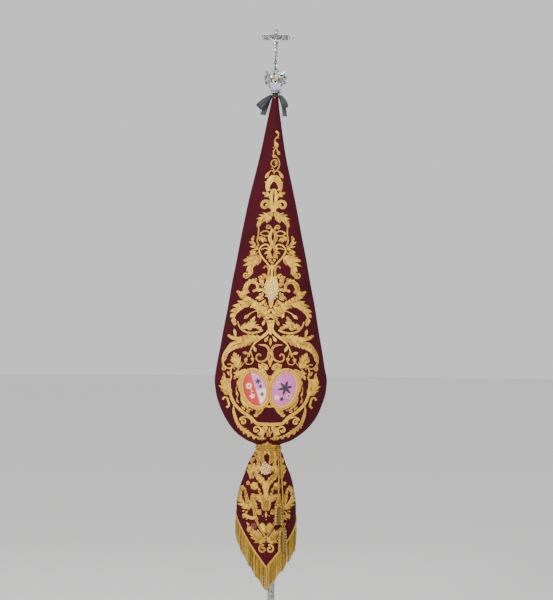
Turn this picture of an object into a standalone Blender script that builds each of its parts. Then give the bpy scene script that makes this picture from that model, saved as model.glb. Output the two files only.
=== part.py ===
"""Gathered velvet church banner on its silver pole, with fringe, tie cord, bow and cross finial.

Metres, +Z up. The pole's axis is the Z axis and its foot stands at the origin. The banner's
face looks along -Y, and +X is to the viewer's right.
"""

import math

import bmesh
import bpy
import numpy as np
from mathutils import Matrix, Vector

MM = 0.001
SEAT_GAP = 0.0003          # pieces that touch are parted by this much

# Pole: a chased tube below the cloth, a thinner rod inside it, and a plain foot
POLE_RADIUS = 0.014
POLE_SHOULDER = 1.100      # the tube ends here, hidden in the drop
ROD_RADIUS = 0.008
FERRULE_HEIGHT = 0.045
FERRULE_RADIUS = 0.0165
ROD_TOP = 2.426

# Banner cloth: one sheet wrapped round the pole, lapped at the back
CLOTH_THICKNESS = 0.003
CLOTH_TOP = 2.414
TIE_HEIGHT = 1.014
TAIL_POINT = 0.539
LAP_DEPTH = 0.006          # the right edge lies this far behind the left one
LAP_HALF_WIDTH = 0.012     # and passes the middle of the back by this much
LEFT_HEM_SLOPE = 1.45      # rise of the tail's lower edge for each metre round the cloth
RIGHT_HEM_SLOPE = 1.28
CLOTH_COLUMNS = 44

# The drop and tail, from the top down, in millimetres: how far the cloth reaches to the left,
# right, front and back of the pole's axis at each height
CLOTH_SECTIONS = (
    # height, left, right, front, back
    (2414, 10.6, 10.2, 10.4, 10.4),
    (2374, 19, 14, 15, 14),
    (2314, 31, 22, 22, 18),
    (2194, 55, 40, 34, 24),
    (2002, 101, 81, 50, 32),
    (1810, 139, 119, 62, 38),
    (1618, 174, 156, 72, 44),
    (1426, 208, 190, 81, 49),
    (1330, 226, 206, 85, 51),
    (1282, 231, 215, 86, 52),
    (1234, 227, 211, 86, 52),
    (1186, 214, 197, 84, 51),
    (1138, 193, 177, 79, 48),
    (1090, 161, 141, 70, 43),
    (1066, 137, 113, 62, 39),
    (1042, 100, 75, 50, 34),
    (1024, 63, 31, 35, 28),
    (1014, 60, 28, 33, 26),
    (1004, 62, 30, 34, 27),
    (988, 72, 38, 37, 29),
    (946, 95, 53, 45, 32),
    (898, 112, 75, 53, 36),
    (850, 127, 87, 58, 39),
    (778, 138, 97, 60, 40),
    (682, 138, 98, 60, 40),
    (539, 138, 98, 60, 40),
)
# Rows of the sheet: heights above the tie, then shares of the way from the tie to the lower edge
DROP_ROWS = (
    2.414, 2.374, 2.314, 2.200, 2.080, 1.940, 1.790, 1.630, 1.470, 1.370, 1.310,
    1.260, 1.215, 1.175, 1.135, 1.100, 1.072, 1.050, 1.036, 1.024, 1.014,
)
TAIL_SHARES = (0.025, 0.07, 0.16, 0.28, 0.42, 0.58, 0.78, 1.0)

# Gathers that run out of the tie, up into the drop and down into the tail
GATHER_COUNT = 10
GATHER_DEPTH = 0.0034
GATHER_REACH = 0.038
GATHER_PHASE = 0.6
TAIL_FOLD_COUNT = 5
TAIL_FOLD_DEPTH = 0.0022
TAIL_FOLD_PHASE = 2.1

# Two oval fields and their padded frames, side by side on the belly of the drop
MEDALLION_AXIS_X = -0.013
MEDALLION_SPREAD = 0.057   # centre of each field from the middle between them
MEDALLION_HEIGHT = 1.250
MEDALLION_LONG = 0.067     # half axes of a field
MEDALLION_SHORT = 0.0445
MEDALLION_LEAN = math.radians(17)
MEDALLION_CROWN = 0.0032
FRAME_WIDTH = 0.0175
FRAME_CROWN = 0.0068
FACE_GAP = 0.0007          # from the cloth's smooth surface to what is sewn on it
OVAL_STEPS = 28

# Fringe along the lower edges of the tail
FRINGE_STRANDS = 50        # a side
FRINGE_LENGTH = 0.094
FRINGE_STRIP_HEIGHT = 0.010
FRINGE_GAP = 0.0012
FRINGE_STRAND_SHARE = 0.68

# Tie cord round the neck, its knot, and its two free ends
CORD_DIAMETER = 0.007
TIE_CLEARANCE = 0.0058     # from the cloth's middle surface to the cord's centre line
TIE_KNOT_ANGLE = math.radians(50)
TIE_KNOT_SIZE = (0.0098, 0.0066, 0.0080)
TIE_KNOT_CLEARANCE = 0.0122
TIE_STOPS = (math.radians(9.9), math.radians(8.9))  # short of the knot, before and after it
TIE_STEPS = 38
CORD_STEP = 0.009
SHORT_END_ROUTE = (        # x, y, z in millimetres, from the knot down to the tassel
    (23.6, -29, 1003.4), (24.6, -34, 985), (26.4, -45, 946), (27.3, -57, 898),
    (27.2, -67, 856), (26.4, -74, 828), (26, -76.5, 812), (26, -76.5, 805.1),
)
LONG_END_ROUTE = (
    (31, -28.5, 1003.4), (33, -31.5, 984), (36, -42, 946), (38.5, -52.5, 898),
    (42, -59.5, 850), (44, -62, 800), (44.8, -64.5, 750), (44.4, -68.5, 726), (43, -71.5, 711),
    (43, -71.5, 704.7),
)
# Tassels: x, y and top in millimetres, half width of the skirt, height of the head, full length
TASSELS = (
    ("short", 26, -76.5, 804.7, 14.5, 20, 96),
    ("long", 43, -71.5, 704.2, 17.0, 17, 100),
)
TASSEL_STRANDS = 16

# Black ribbon bow tied between the cloth and the finial
RIBBON_THICKNESS = 0.001
BOW_WRAP_RADIUS = 0.0145

# Finial, from its collar up
COLLAR_BOTTOM = 2.4262
BASKET_BOTTOM = 2.4380
BASKET_TOP = 2.4660
BASKET_HALF_BOTTOM = 0.0165
BASKET_HALF_TOP = 0.0295
BOWL_TOP = 2.4975
ABACUS_TOP = 2.5100
ABACUS_HALF = 0.0395
ABACUS_WAIST = 0.0330      # half width at the middle of a side
HORN_HEIGHT = 0.0085

# Cross, from its base up
CROSS_FOOT = 2.5190
CROSS_TOP = 2.6670
SHAFT_HALF_WIDTH = 0.0065
CROSS_HALF_DEPTH = 0.0045
ARM_HALF_LENGTH = 0.0470
ARM_HALF_HEIGHT = 0.0105
ARM_HEIGHT = 2.6520
SLEEVE_LENGTH = 0.0095
SLEEVE_HALF_HEIGHT = 0.0095


def clear_scene():
    for old in list(bpy.data.objects):
        bpy.data.objects.remove(old, do_unlink=True)


def collection(name):
    made = bpy.data.collections.new(name)
    bpy.context.scene.collection.children.link(made)
    return made


def principled(name, colour, roughness, metallic=0.0):
    material = bpy.data.materials.new(name)
    material.use_nodes = True
    shader = material.node_tree.nodes["Principled BSDF"]
    shader.inputs["Base Color"].default_value = (*colour, 1.0)
    shader.inputs["Roughness"].default_value = roughness
    shader.inputs["Metallic"].default_value = metallic
    return material


clear_scene()
PARTS = collection("church_banner")
VELVET = principled("burgundy_velvet", (0.110, 0.006, 0.016), 0.80)
GOLD_THREAD = principled("gold_thread", (0.620, 0.420, 0.130), 0.38, 0.75)
RED_FIELD = principled("embroidered_field_red", (0.520, 0.060, 0.060), 0.60)
LILAC_FIELD = principled("embroidered_field_lilac", (0.480, 0.300, 0.520), 0.60)
SILVER = principled("silver", (0.820, 0.820, 0.840), 0.22, 1.0)
CHASED_SILVER = principled("chased_silver", (0.560, 0.550, 0.540), 0.38, 1.0)
STEEL = principled("steel_rod", (0.450, 0.450, 0.460), 0.35, 1.0)
BLACK_RIBBON = principled("black_ribbon", (0.020, 0.020, 0.022), 0.55)


def place(name, mesh, material, smooth=True):
    """Puts a mesh in the scene as one named piece with its material."""
    piece = bpy.data.objects.new(name, mesh)
    mesh.materials.append(material)
    if smooth:
        mesh.shade_smooth()
        mesh.set_sharp_from_angle(angle=math.radians(40))
    PARTS.objects.link(piece)
    return piece


def mesh_from(bm, name):
    bmesh.ops.recalc_face_normals(bm, faces=bm.faces)
    mesh = bpy.data.meshes.new(name)
    bm.to_mesh(mesh)
    bm.free()
    return mesh


def turned(name, profile, steps, material, place_at=(0, 0, 0), turn=None):
    """A turned piece: a profile of radius and height, top to bottom, spun round Z."""
    bm = bmesh.new()
    points = [bm.verts.new((radius, 0, height)) for radius, height in profile]
    for upper, lower in zip(points, points[1:]):
        bm.edges.new((upper, lower))
    mesh = bpy.data.meshes.new(name)
    bm.to_mesh(mesh)
    bm.free()
    piece = bpy.data.objects.new(name, mesh)
    mesh.materials.append(material)
    PARTS.objects.link(piece)
    piece.location = place_at
    if turn:
        piece.rotation_euler = turn
    screw = piece.modifiers.new("turn", "SCREW")
    screw.steps = steps
    screw.render_steps = steps
    screw.use_merge_vertices = True
    screw.merge_threshold = 0.00005
    screw.use_smooth_shade = True
    return piece


def box(name, low, high, material, bevel=0.0008):
    bm = bmesh.new()
    bmesh.ops.create_cube(bm, size=1.0)
    size = [b - a for a, b in zip(low, high)]
    middle = [(a + b) / 2 for a, b in zip(low, high)]
    bmesh.ops.scale(bm, vec=size, verts=bm.verts)
    bmesh.ops.translate(bm, vec=middle, verts=bm.verts)
    piece = place(name, mesh_from(bm, name), material)
    edge = piece.modifiers.new("edge", "BEVEL")
    edge.width = bevel
    edge.segments = 1
    return piece


def grid_mesh(name, rows, closed_columns=False, cap_ends=False):
    """A mesh through rows of points. Closed columns make a tube; caps close its two ends."""
    bm = bmesh.new()
    grid = [[bm.verts.new(point) for point in row] for row in rows]
    columns = len(rows[0])
    last = columns if closed_columns else columns - 1
    for upper, lower in zip(grid, grid[1:]):
        for i in range(last):
            j = (i + 1) % columns
            bm.faces.new((upper[i], lower[i], lower[j], upper[j]))
    if cap_ends:
        bm.faces.new(grid[0])
        bm.faces.new(grid[-1][::-1])
    return mesh_from(bm, name)


class Profile:
    """A smooth curve through a table's column against height, with no overshoot between rows."""

    def __init__(self, heights, values):
        self.heights = np.array(heights)
        self.values = np.array(values)
        steps = np.diff(self.heights)
        slopes = np.diff(self.values) / steps
        self.tangents = np.zeros(len(values))
        for i in range(1, len(values) - 1):
            if slopes[i - 1] * slopes[i] > 0:
                self.tangents[i] = 2 / (1 / slopes[i - 1] + 1 / slopes[i])
        self.tangents[0] = slopes[0]
        self.tangents[-1] = slopes[-1]

    def at(self, height):
        i = int(np.clip(np.searchsorted(self.heights, height) - 1, 0, len(self.heights) - 2))
        step = self.heights[i + 1] - self.heights[i]
        t = min(max((height - self.heights[i]) / step, 0.0), 1.0)
        rise = self.values[i + 1] - self.values[i]
        a, b = self.tangents[i] * step, self.tangents[i + 1] * step
        bend = (a + b - 2 * rise) * t + (3 * rise - 2 * a - b)
        return self.values[i] + a * t + bend * t * t


def cloth_profiles():
    table = np.array(sorted(CLOTH_SECTIONS)) * MM
    return [Profile(table[:, 0], table[:, column]) for column in (1, 2, 3, 4)]


LEFT, RIGHT, FRONT, BACK = cloth_profiles()


def smooth_step(share):
    t = min(max(share, 0.0), 1.0)
    return t * t * (3 - 2 * t)


def cloth_oval(height):
    """The oval that the cloth follows at this height: middle, half width, front and back depth."""
    left, right = LEFT.at(height), RIGHT.at(height)
    return (right - left) / 2, (left + right) / 2, FRONT.at(height), BACK.at(height)


def fold_depth(angle, height):
    """How far the gathers and the tail's folds push the cloth out at this place."""
    away = abs(height - TIE_HEIGHT) / GATHER_REACH
    gather = GATHER_DEPTH * away * math.exp(1 - away) * (0.2 + 0.8 * math.sin(angle) ** 2)
    depth = gather * math.cos(GATHER_COUNT * angle + GATHER_PHASE)
    tail = smooth_step((TIE_HEIGHT - 0.06 - height) / 0.12)
    return depth + TAIL_FOLD_DEPTH * tail * math.cos(TAIL_FOLD_COUNT * angle + TAIL_FOLD_PHASE)


def cloth_point(angle, height, lift=0.0):
    """A point of the cloth's middle surface. The angle runs from 0 at the front, plus to the right."""
    middle, half_width, front, back = cloth_oval(height)
    lap = LAP_DEPTH * smooth_step((angle / math.pi - 0.62) / 0.33)
    depth = front if math.cos(angle) > 0 else back + lap
    x = half_width * math.sin(angle)
    y = -depth * math.cos(angle)
    outward = Vector((x / half_width ** 2, y / depth ** 2))
    outward.normalize()
    push = fold_depth(angle, height) + lift
    return Vector((middle + x + outward.x * push, y + outward.y * push, height))


def front_y(x, height):
    """Where the cloth's face lies at a place on the front."""
    middle, half_width, front, _ = cloth_oval(height)
    share = min(abs((x - middle) / half_width), 0.999)
    return -front * math.sqrt(1 - share * share) - CLOTH_THICKNESS / 2


def lap_angle(height):
    half_width = cloth_oval(height)[1]
    return math.asin(min(LAP_HALF_WIDTH, half_width / 2) / half_width)


def hem_table():
    """Distance round the tail, from the middle of the front, against the angle."""
    angles = np.linspace(0, math.pi * 1.1, 200)
    middle, half_width, front, back = cloth_oval(TAIL_POINT)
    depth = np.where(np.cos(angles) > 0, front, back)
    points = np.stack([half_width * np.sin(angles), -depth * np.cos(angles)], axis=1)
    steps = np.linalg.norm(np.diff(points, axis=0), axis=1)
    return angles, np.concatenate([[0], np.cumsum(steps)])


HEM_ANGLES, HEM_DISTANCES = hem_table()


def hem_height(angle):
    distance = float(np.interp(abs(angle), HEM_ANGLES, HEM_DISTANCES))
    slope = RIGHT_HEM_SLOPE if angle > 0 else LEFT_HEM_SLOPE
    return TAIL_POINT + slope * distance


def make_cloth():
    """The whole flag as one sheet: rows down the drop, then rows fanned out to the tail's hem."""
    rows = []
    for height in DROP_ROWS:
        reach = math.pi + lap_angle(height)
        angles = np.linspace(-reach, reach, CLOTH_COLUMNS + 1)
        rows.append([cloth_point(angle, height) for angle in angles])
    reach = math.pi + lap_angle(TIE_HEIGHT)
    angles = np.linspace(-reach, reach, CLOTH_COLUMNS + 1)
    for share in TAIL_SHARES:
        heights = [TIE_HEIGHT + (hem_height(angle) - TIE_HEIGHT) * share for angle in angles]
        rows.append([cloth_point(angle, height) for angle, height in zip(angles, heights)])
    cloth = place("banner_cloth", grid_mesh("banner_cloth", rows), VELVET)
    thick = cloth.modifiers.new("thickness", "SOLIDIFY")
    thick.thickness = CLOTH_THICKNESS
    thick.offset = 0.0


def oval_point(side, radius_long, radius_short, angle):
    """A point of a leaning oval. The side is -1 for the left field and 1 for the right one."""
    across = radius_short * math.sin(angle)
    along = radius_long * math.cos(angle)
    lean = side * MEDALLION_LEAN
    x = across * math.cos(lean) + along * math.sin(lean)
    z = along * math.cos(lean) - across * math.sin(lean)
    return MEDALLION_AXIS_X + side * MEDALLION_SPREAD + x, MEDALLION_HEIGHT + z


def on_face(x, z, lift):
    return Vector((x, front_y(x, z) - FACE_GAP - lift, z))


def make_medallion(name, side, material):
    """A field: a thin oval with a low crown that follows the cloth's curve."""
    rows = []
    for share, lift in ((0.5, 0.0), (1.0, 0.0), (1.0, 0.0015), (0.8, 0.0028), (0.4, MEDALLION_CROWN)):
        ring = []
        for step in range(OVAL_STEPS):
            angle = 2 * math.pi * step / OVAL_STEPS
            x, z = oval_point(side, MEDALLION_LONG * share, MEDALLION_SHORT * share, angle)
            ring.append(on_face(x, z, lift))
        rows.append(ring)
    place(name, grid_mesh(name, rows, closed_columns=True, cap_ends=True), material)


def make_frame(name, side):
    """A padded ring round a field. It stops at the middle, where the two frames meet."""
    profile = ((0.0, 0.0), (0.0, 0.003), (0.3, 0.0062), (0.6, FRAME_CROWN), (1.0, 0.003), (1.0, 0.0))
    ring_gap = SEAT_GAP * 2
    rows = []
    for share, lift in profile + profile[:1]:
        ring = []
        for step in range(OVAL_STEPS):
            angle = 2 * math.pi * step / OVAL_STEPS
            inner = oval_point(side, MEDALLION_LONG + ring_gap, MEDALLION_SHORT + ring_gap, angle)
            outer = oval_point(
                side, MEDALLION_LONG + FRAME_WIDTH, MEDALLION_SHORT + FRAME_WIDTH, angle
            )
            outer_x = outer[0] - MEDALLION_AXIS_X
            outer_x = side * max(side * outer_x, SEAT_GAP) + MEDALLION_AXIS_X
            x = inner[0] + (outer_x - inner[0]) * share
            z = inner[1] + (outer[1] - inner[1]) * share
            ring.append(on_face(x, z, lift))
        rows.append(ring)
    mesh = grid_mesh(name, rows, closed_columns=True)
    bm = bmesh.new()
    bm.from_mesh(mesh)
    bmesh.ops.remove_doubles(bm, verts=bm.verts, dist=0.00001)
    bmesh.ops.recalc_face_normals(bm, faces=bm.faces)
    bm.to_mesh(mesh)
    bm.free()
    place(name, mesh, GOLD_THREAD)


def comb(name, stations, strip_height, lengths, material, closed=False):
    """A narrow strip with strands that hang from every other cell of its lower side.

    A station is a pair of points of the strip's upper side: its inner and its outer edge.
    """
    bm = bmesh.new()
    drop = Vector((0, 0, -strip_height))
    rings = []
    for inner, outer in stations:
        corners = (inner, outer, outer + drop, inner + drop)
        rings.append([bm.verts.new(corner) for corner in corners])
    count = len(rings) if closed else len(rings) - 1
    roots = []
    for i in range(count):
        here, there = rings[i], rings[(i + 1) % len(rings)]
        for a in range(4):
            b = (a + 1) % 4
            face = bm.faces.new((here[a], here[b], there[b], there[a]))
            if a == 2 and i % 2 == 0:
                roots.append(face)
    if not closed:
        bm.faces.new(rings[0][::-1])
        bm.faces.new(rings[-1])
    bmesh.ops.recalc_face_normals(bm, faces=bm.faces)
    strands = bmesh.ops.extrude_discrete_faces(bm, faces=roots)["faces"]
    for face, length in zip(strands, lengths):
        for vert in face.verts:
            vert.co.z -= length
    place(name, mesh_from(bm, name), material, smooth=False)


def make_fringe(name, side):
    """The fringe of one side, from the tail's point round to the edge at the back."""
    start = 0.0006
    end = float(np.interp(math.pi + lap_angle(0.93), HEM_ANGLES, HEM_DISTANCES)) - 0.002
    cell = (end - start) / (FRINGE_STRANDS - 1 + FRINGE_STRAND_SHARE)
    stations = []
    lengths = []
    for strand in range(FRINGE_STRANDS):
        for place_in_cell in (0.0, FRINGE_STRAND_SHARE):
            distance = start + cell * (strand + place_in_cell)
            angle = side * float(np.interp(distance, HEM_DISTANCES, HEM_ANGLES))
            height = hem_height(angle)
            shift = Vector((0, 0, -FRINGE_GAP))
            half = CLOTH_THICKNESS / 2
            stations.append(
                (cloth_point(angle, height, -half) + shift, cloth_point(angle, height, half) + shift)
            )
        uneven = math.sin(strand * 2.4) * 0.6 + math.sin(strand * 0.7 + side) * 0.4
        lengths.append(FRINGE_LENGTH - FRINGE_STRIP_HEIGHT + 0.0035 * uneven)
    comb(name, stations, FRINGE_STRIP_HEIGHT, lengths, GOLD_THREAD)


def tube(name, points, radius, material, resolution=2):
    """A round cord along a list of points."""
    curve = bpy.data.curves.new(name, "CURVE")
    curve.dimensions = "3D"
    curve.bevel_depth = radius
    curve.bevel_resolution = resolution
    curve.use_fill_caps = True
    curve.materials.append(material)
    spline = curve.splines.new("POLY")
    spline.points.add(len(points) - 1)
    for spot, point in zip(spline.points, points):
        spot.co = (*point, 1.0)
    cord = bpy.data.objects.new(name, curve)
    PARTS.objects.link(cord)
    return cord


def make_tie():
    """The tie: one turn of cord round the neck, open where its knot sits."""
    first = TIE_KNOT_ANGLE + TIE_STOPS[1]
    last = TIE_KNOT_ANGLE + 2 * math.pi - TIE_STOPS[0]
    points = []
    for angle in np.linspace(first, last, TIE_STEPS):
        wrapped = angle - 2 * math.pi if angle > math.pi else angle
        lap = LAP_DEPTH * smooth_step((abs(wrapped) / math.pi - 0.62) / 0.33)
        middle, half_width, front, back = cloth_oval(TIE_HEIGHT)
        depth = front if math.cos(angle) > 0 else back + lap
        x = middle + (half_width + TIE_CLEARANCE) * math.sin(angle)
        y = -(depth + TIE_CLEARANCE) * math.cos(angle)
        points.append((x, y, TIE_HEIGHT))
    tube("tie_cord", points, CORD_DIAMETER / 2, GOLD_THREAD)
    middle, half_width, front, _ = cloth_oval(TIE_HEIGHT)
    x = middle + (half_width + TIE_KNOT_CLEARANCE) * math.sin(TIE_KNOT_ANGLE)
    y = -(front + TIE_KNOT_CLEARANCE) * math.cos(TIE_KNOT_ANGLE)
    bm = bmesh.new()
    bmesh.ops.create_uvsphere(bm, u_segments=14, v_segments=8, radius=1.0)
    bmesh.ops.scale(bm, vec=TIE_KNOT_SIZE, verts=bm.verts)
    bmesh.ops.translate(bm, vec=(x, y, TIE_HEIGHT - 0.002), verts=bm.verts)
    place("tie_knot", mesh_from(bm, "tie_knot"), GOLD_THREAD)


def smooth_route(route, step):
    """Points a step apart on a smooth curve through the route's own points."""
    knots = [Vector(point) * MM for point in route]
    knots = [knots[0] * 2 - knots[1]] + knots + [knots[-1] * 2 - knots[-2]]
    fine = []
    for a, b, c, d in zip(knots, knots[1:], knots[2:], knots[3:]):
        for t in np.linspace(0, 1, 20, endpoint=False):
            bend = (2 * a - 5 * b + 4 * c - d) * t * t + (3 * b - a - 3 * c + d) * t ** 3
            fine.append((2 * b + (c - a) * t + bend) / 2)
    fine.append(knots[-2])
    gaps = [0.0] + [(q - p).length for p, q in zip(fine, fine[1:])]
    along = np.cumsum(gaps)
    wanted = np.linspace(0, along[-1], int(round(along[-1] / step)) + 1)
    columns = [np.interp(wanted, along, [point[axis] for point in fine]) for axis in range(3)]
    return [tuple(point) for point in np.stack(columns, axis=1)]


def make_cord_ends():
    for name, route in (("cord_end_short", SHORT_END_ROUTE), ("cord_end_long", LONG_END_ROUTE)):
        tube(name, smooth_route(route, CORD_STEP), CORD_DIAMETER / 2, GOLD_THREAD)


def make_tassel(name, x, y, top, half_width, head_height, length):
    """A tassel: a turned head with its collar, over a skirt of strands hung from a ring."""
    radius = half_width * MM
    head_bottom = -head_height * MM
    profile = (
        (0.0, 0.0), (0.0046, -0.0004), (0.0058, -0.0030), (0.0046, -0.0056),
        (radius * 0.62, -0.0086), (radius * 0.84, -0.0125), (radius * 0.80, head_bottom + 0.0035),
        (radius * 0.90, head_bottom + 0.0022), (radius * 0.88, head_bottom), (0.0, head_bottom),
    )
    top_point = Vector((x, y, top)) * MM
    turned("tassel_head_" + name, profile, 16, GOLD_THREAD, top_point)
    ring_top = top_point + Vector((0, 0, head_bottom - SEAT_GAP))
    stations = []
    for strand in range(TASSEL_STRANDS):
        for share in (0.0, 0.78):
            turn = 2 * math.pi * (strand + share) / TASSEL_STRANDS
            across = Vector((math.cos(turn), math.sin(turn), 0))
            stations.append((ring_top + across * radius * 0.62, ring_top + across * radius))
    strip = 0.006
    lengths = []
    for strand in range(TASSEL_STRANDS):
        hang = length * MM - head_height * MM - strip
        lengths.append(hang + 0.0016 * math.sin(strand * 2.1))
    comb("tassel_skirt_" + name, stations, strip, lengths, GOLD_THREAD, closed=True)


def ribbon(name, centres, widths, across, material):
    """A strip of ribbon along its centre line, as wide as its table says at each point."""
    rows = []
    for centre, width, direction in zip(centres, widths, across):
        spread = Vector(direction).normalized() * width
        middle = Vector(centre)
        rows.append([(middle + spread * share) * MM for share in (-0.5, -0.17, 0.17, 0.5)])
    piece = place(name, grid_mesh(name, rows), material)
    thick = piece.modifiers.new("thickness", "SOLIDIFY")
    thick.thickness = RIBBON_THICKNESS
    thick.offset = 0.0
    thick.use_even_offset = True


# Each ribbon of the bow, from the wrap outwards, in millimetres
BOW_RIBBONS = {
    "bow_loop_left": (
        # x, y, z, width, and the width's own direction as x and z
        (-15.6, -3.4, 2419.5, 8, -0.45, -1.0),
        (-27, -7.0, 2411, 14, 0.55, -0.9),
        (-43, -9.5, 2396, 24, 0.62, -0.8),
        (-58, -9.0, 2381, 29, 0.66, -0.75),
        (-66, -3.5, 2373, 30, 0.68, -0.73),
        (-67, 3.0, 2372, 30, 0.68, -0.73),
        (-58, 7.0, 2380, 28, 0.66, -0.75),
        (-43, 7.0, 2394, 22, 0.62, -0.8),
        (-27, 4.5, 2409, 13, 0.55, -0.9),
        (-15.6, 2.5, 2417, 7, -0.45, -1.0),
    ),
    "bow_tail_left": (
        (-12.9, 8.4, 2418, 7, 0.3, -1.0),
        (-23, 12.0, 2404, 12, 1.0, -0.9),
        (-34, 13.5, 2383, 18, 1.0, -0.5),
        (-43, 13.0, 2362, 21, 1.0, -0.45),
        (-50, 11.5, 2343, 22, 1.0, -0.15),
    ),
    "bow_loop_right": (
        (15.6, -3.4, 2419.5, 8, -0.45, 1.0),
        (25, -8.0, 2411, 14, 0.7, 0.8),
        (33, -11.0, 2398, 20, 0.85, 0.55),
        (38, -11.5, 2384, 24, 0.95, 0.3),
        (39, -6.5, 2373, 26, 1.0, 0.2),
        (38.5, 0.5, 2371, 26, 1.0, 0.2),
        (36, 5.5, 2380, 24, 0.95, 0.3),
        (31, 7.0, 2395, 19, 0.85, 0.55),
        (24, 5.0, 2408, 12, 0.7, 0.8),
        (15.6, 2.5, 2417, 7, -0.45, 1.0),
    ),
    "bow_tail_right": (
        (12.9, 8.4, 2418, 7, 0.3, 1.0),
        (22, 12.0, 2404, 11, 1.0, 0.9),
        (31, 13.5, 2382, 15, 1.0, 0.4),
        (36, 13.0, 2362, 17, 1.0, 0.25),
        (38.5, 11.0, 2338, 18, 1.0, -0.15),
    ),
}


def make_bow():
    """The ribbon wrapped round the rod, with a loop and a tail on each side."""
    low = CLOTH_TOP + SEAT_GAP
    high = COLLAR_BOTTOM - SEAT_GAP
    middle = (low + high) / 2
    inner = ROD_RADIUS + SEAT_GAP
    outer = BOW_WRAP_RADIUS
    profile = (
        (inner, high), (outer - 0.002, high), (outer, high - 0.002), (outer - 0.001, middle),
        (outer, low + 0.002), (outer - 0.002, low), (inner, low), (inner, high),
    )
    turned("bow_wrap", profile, 16, BLACK_RIBBON)
    for name, rows in BOW_RIBBONS.items():
        centres = [(x, y, z) for x, y, z, _, _, _ in rows]
        widths = [row[3] for row in rows]
        across = [(row[4], 0.0, row[5]) for row in rows]
        ribbon(name, centres, widths, across, BLACK_RIBBON)


def make_pole():
    tube_bottom = FERRULE_HEIGHT + SEAT_GAP
    turned(
        "pole",
        ((0, POLE_SHOULDER), (POLE_RADIUS, POLE_SHOULDER), (POLE_RADIUS, tube_bottom), (0, tube_bottom)),
        24, CHASED_SILVER,
    )
    rod_bottom = POLE_SHOULDER + SEAT_GAP
    rod_top = ROD_TOP - SEAT_GAP
    turned(
        "pole_rod",
        ((0, rod_top), (ROD_RADIUS, rod_top), (ROD_RADIUS, rod_bottom), (0, rod_bottom)),
        16, STEEL,
    )
    turned(
        "pole_ferrule",
        (
            (0, FERRULE_HEIGHT), (POLE_RADIUS, FERRULE_HEIGHT), (FERRULE_RADIUS, 0.042),
            (FERRULE_RADIUS, 0.036), (0.0150, 0.033), (0.0140, 0.006), (0.0120, 0), (0, 0),
        ),
        24, SILVER,
    )


def make_collar():
    """The collar that carries the finial, with a scalloped rim of leaves."""
    middle = (COLLAR_BOTTOM + BASKET_BOTTOM) / 2
    profile = (
        (0.0, BASKET_BOTTOM - SEAT_GAP), (0.0170, BASKET_BOTTOM - SEAT_GAP), (0.0200, middle + 0.003),
        (0.0262, middle + 0.001), (0.0250, middle - 0.002), (0.0150, COLLAR_BOTTOM), (0.0, COLLAR_BOTTOM),
    )
    turned("finial_collar", profile, 24, SILVER)


def make_basket():
    """A four-sided tapered basket with plain faces."""
    bm = bmesh.new()
    bmesh.ops.create_cone(
        bm, cap_ends=True, segments=4,
        radius1=BASKET_HALF_BOTTOM * math.sqrt(2), radius2=BASKET_HALF_TOP * math.sqrt(2),
        depth=BASKET_TOP - BASKET_BOTTOM,
        matrix=Matrix.Translation((0, 0, (BASKET_TOP + BASKET_BOTTOM) / 2))
        @ Matrix.Rotation(math.radians(45), 4, "Z"),
    )
    piece = place("finial_basket", mesh_from(bm, "finial_basket"), SILVER)
    edge = piece.modifiers.new("edge", "BEVEL")
    edge.width = 0.0012
    edge.segments = 1


BOWL_PROFILE = (           # radius and height of the bowl over the basket, top to bottom
    (0.0360, BOWL_TOP - SEAT_GAP), (0.0372, 2.4930), (0.0352, 2.4870), (0.0300, 2.4800),
    (0.0248, 2.4740), (0.0236, 2.4700), (0.0270, BASKET_TOP + SEAT_GAP),
)


def make_bowl():
    top, bottom = BOWL_PROFILE[0][1], BOWL_PROFILE[-1][1]
    turned("finial_bowl", ((0, top), *BOWL_PROFILE, (0, bottom)), 20, SILVER)


def make_abacus():
    """The square top plate: sides that curve in, and corners that turn up into horns."""
    per_side = 8
    outline = []
    for side in range(4):
        turn = Matrix.Rotation(side * math.pi / 2, 3, "Z")
        for step in range(per_side):
            t = -1 + 2 * step / per_side
            reach = ABACUS_WAIST + (ABACUS_HALF - ABACUS_WAIST) * t * t
            outline.append((turn @ Vector((t * ABACUS_HALF, -reach, 0)), abs(t)))
    rows = []
    low = BOWL_TOP
    for scale, height, horn in (
        (0.30, low, 0.0), (0.62, low, 0.0), (0.95, low + 0.002, 0.25), (1.0, low + 0.006, 0.7),
        (0.97, ABACUS_TOP - 0.0005, 1.0), (0.80, ABACUS_TOP, 0.0), (0.30, ABACUS_TOP, 0.0),
    ):
        ring = []
        for point, corner in outline:
            lift = HORN_HEIGHT * horn * corner ** 6
            ring.append((point.x * scale, point.y * scale, height + lift))
        rows.append(ring)
    place("finial_abacus", grid_mesh("finial_abacus", rows, closed_columns=True, cap_ends=True), SILVER)


def bowl_radius(height):
    heights = [spot[1] for spot in reversed(BOWL_PROFILE)]
    radii = [spot[0] for spot in reversed(BOWL_PROFILE)]
    return float(np.interp(height, heights, radii))


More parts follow.
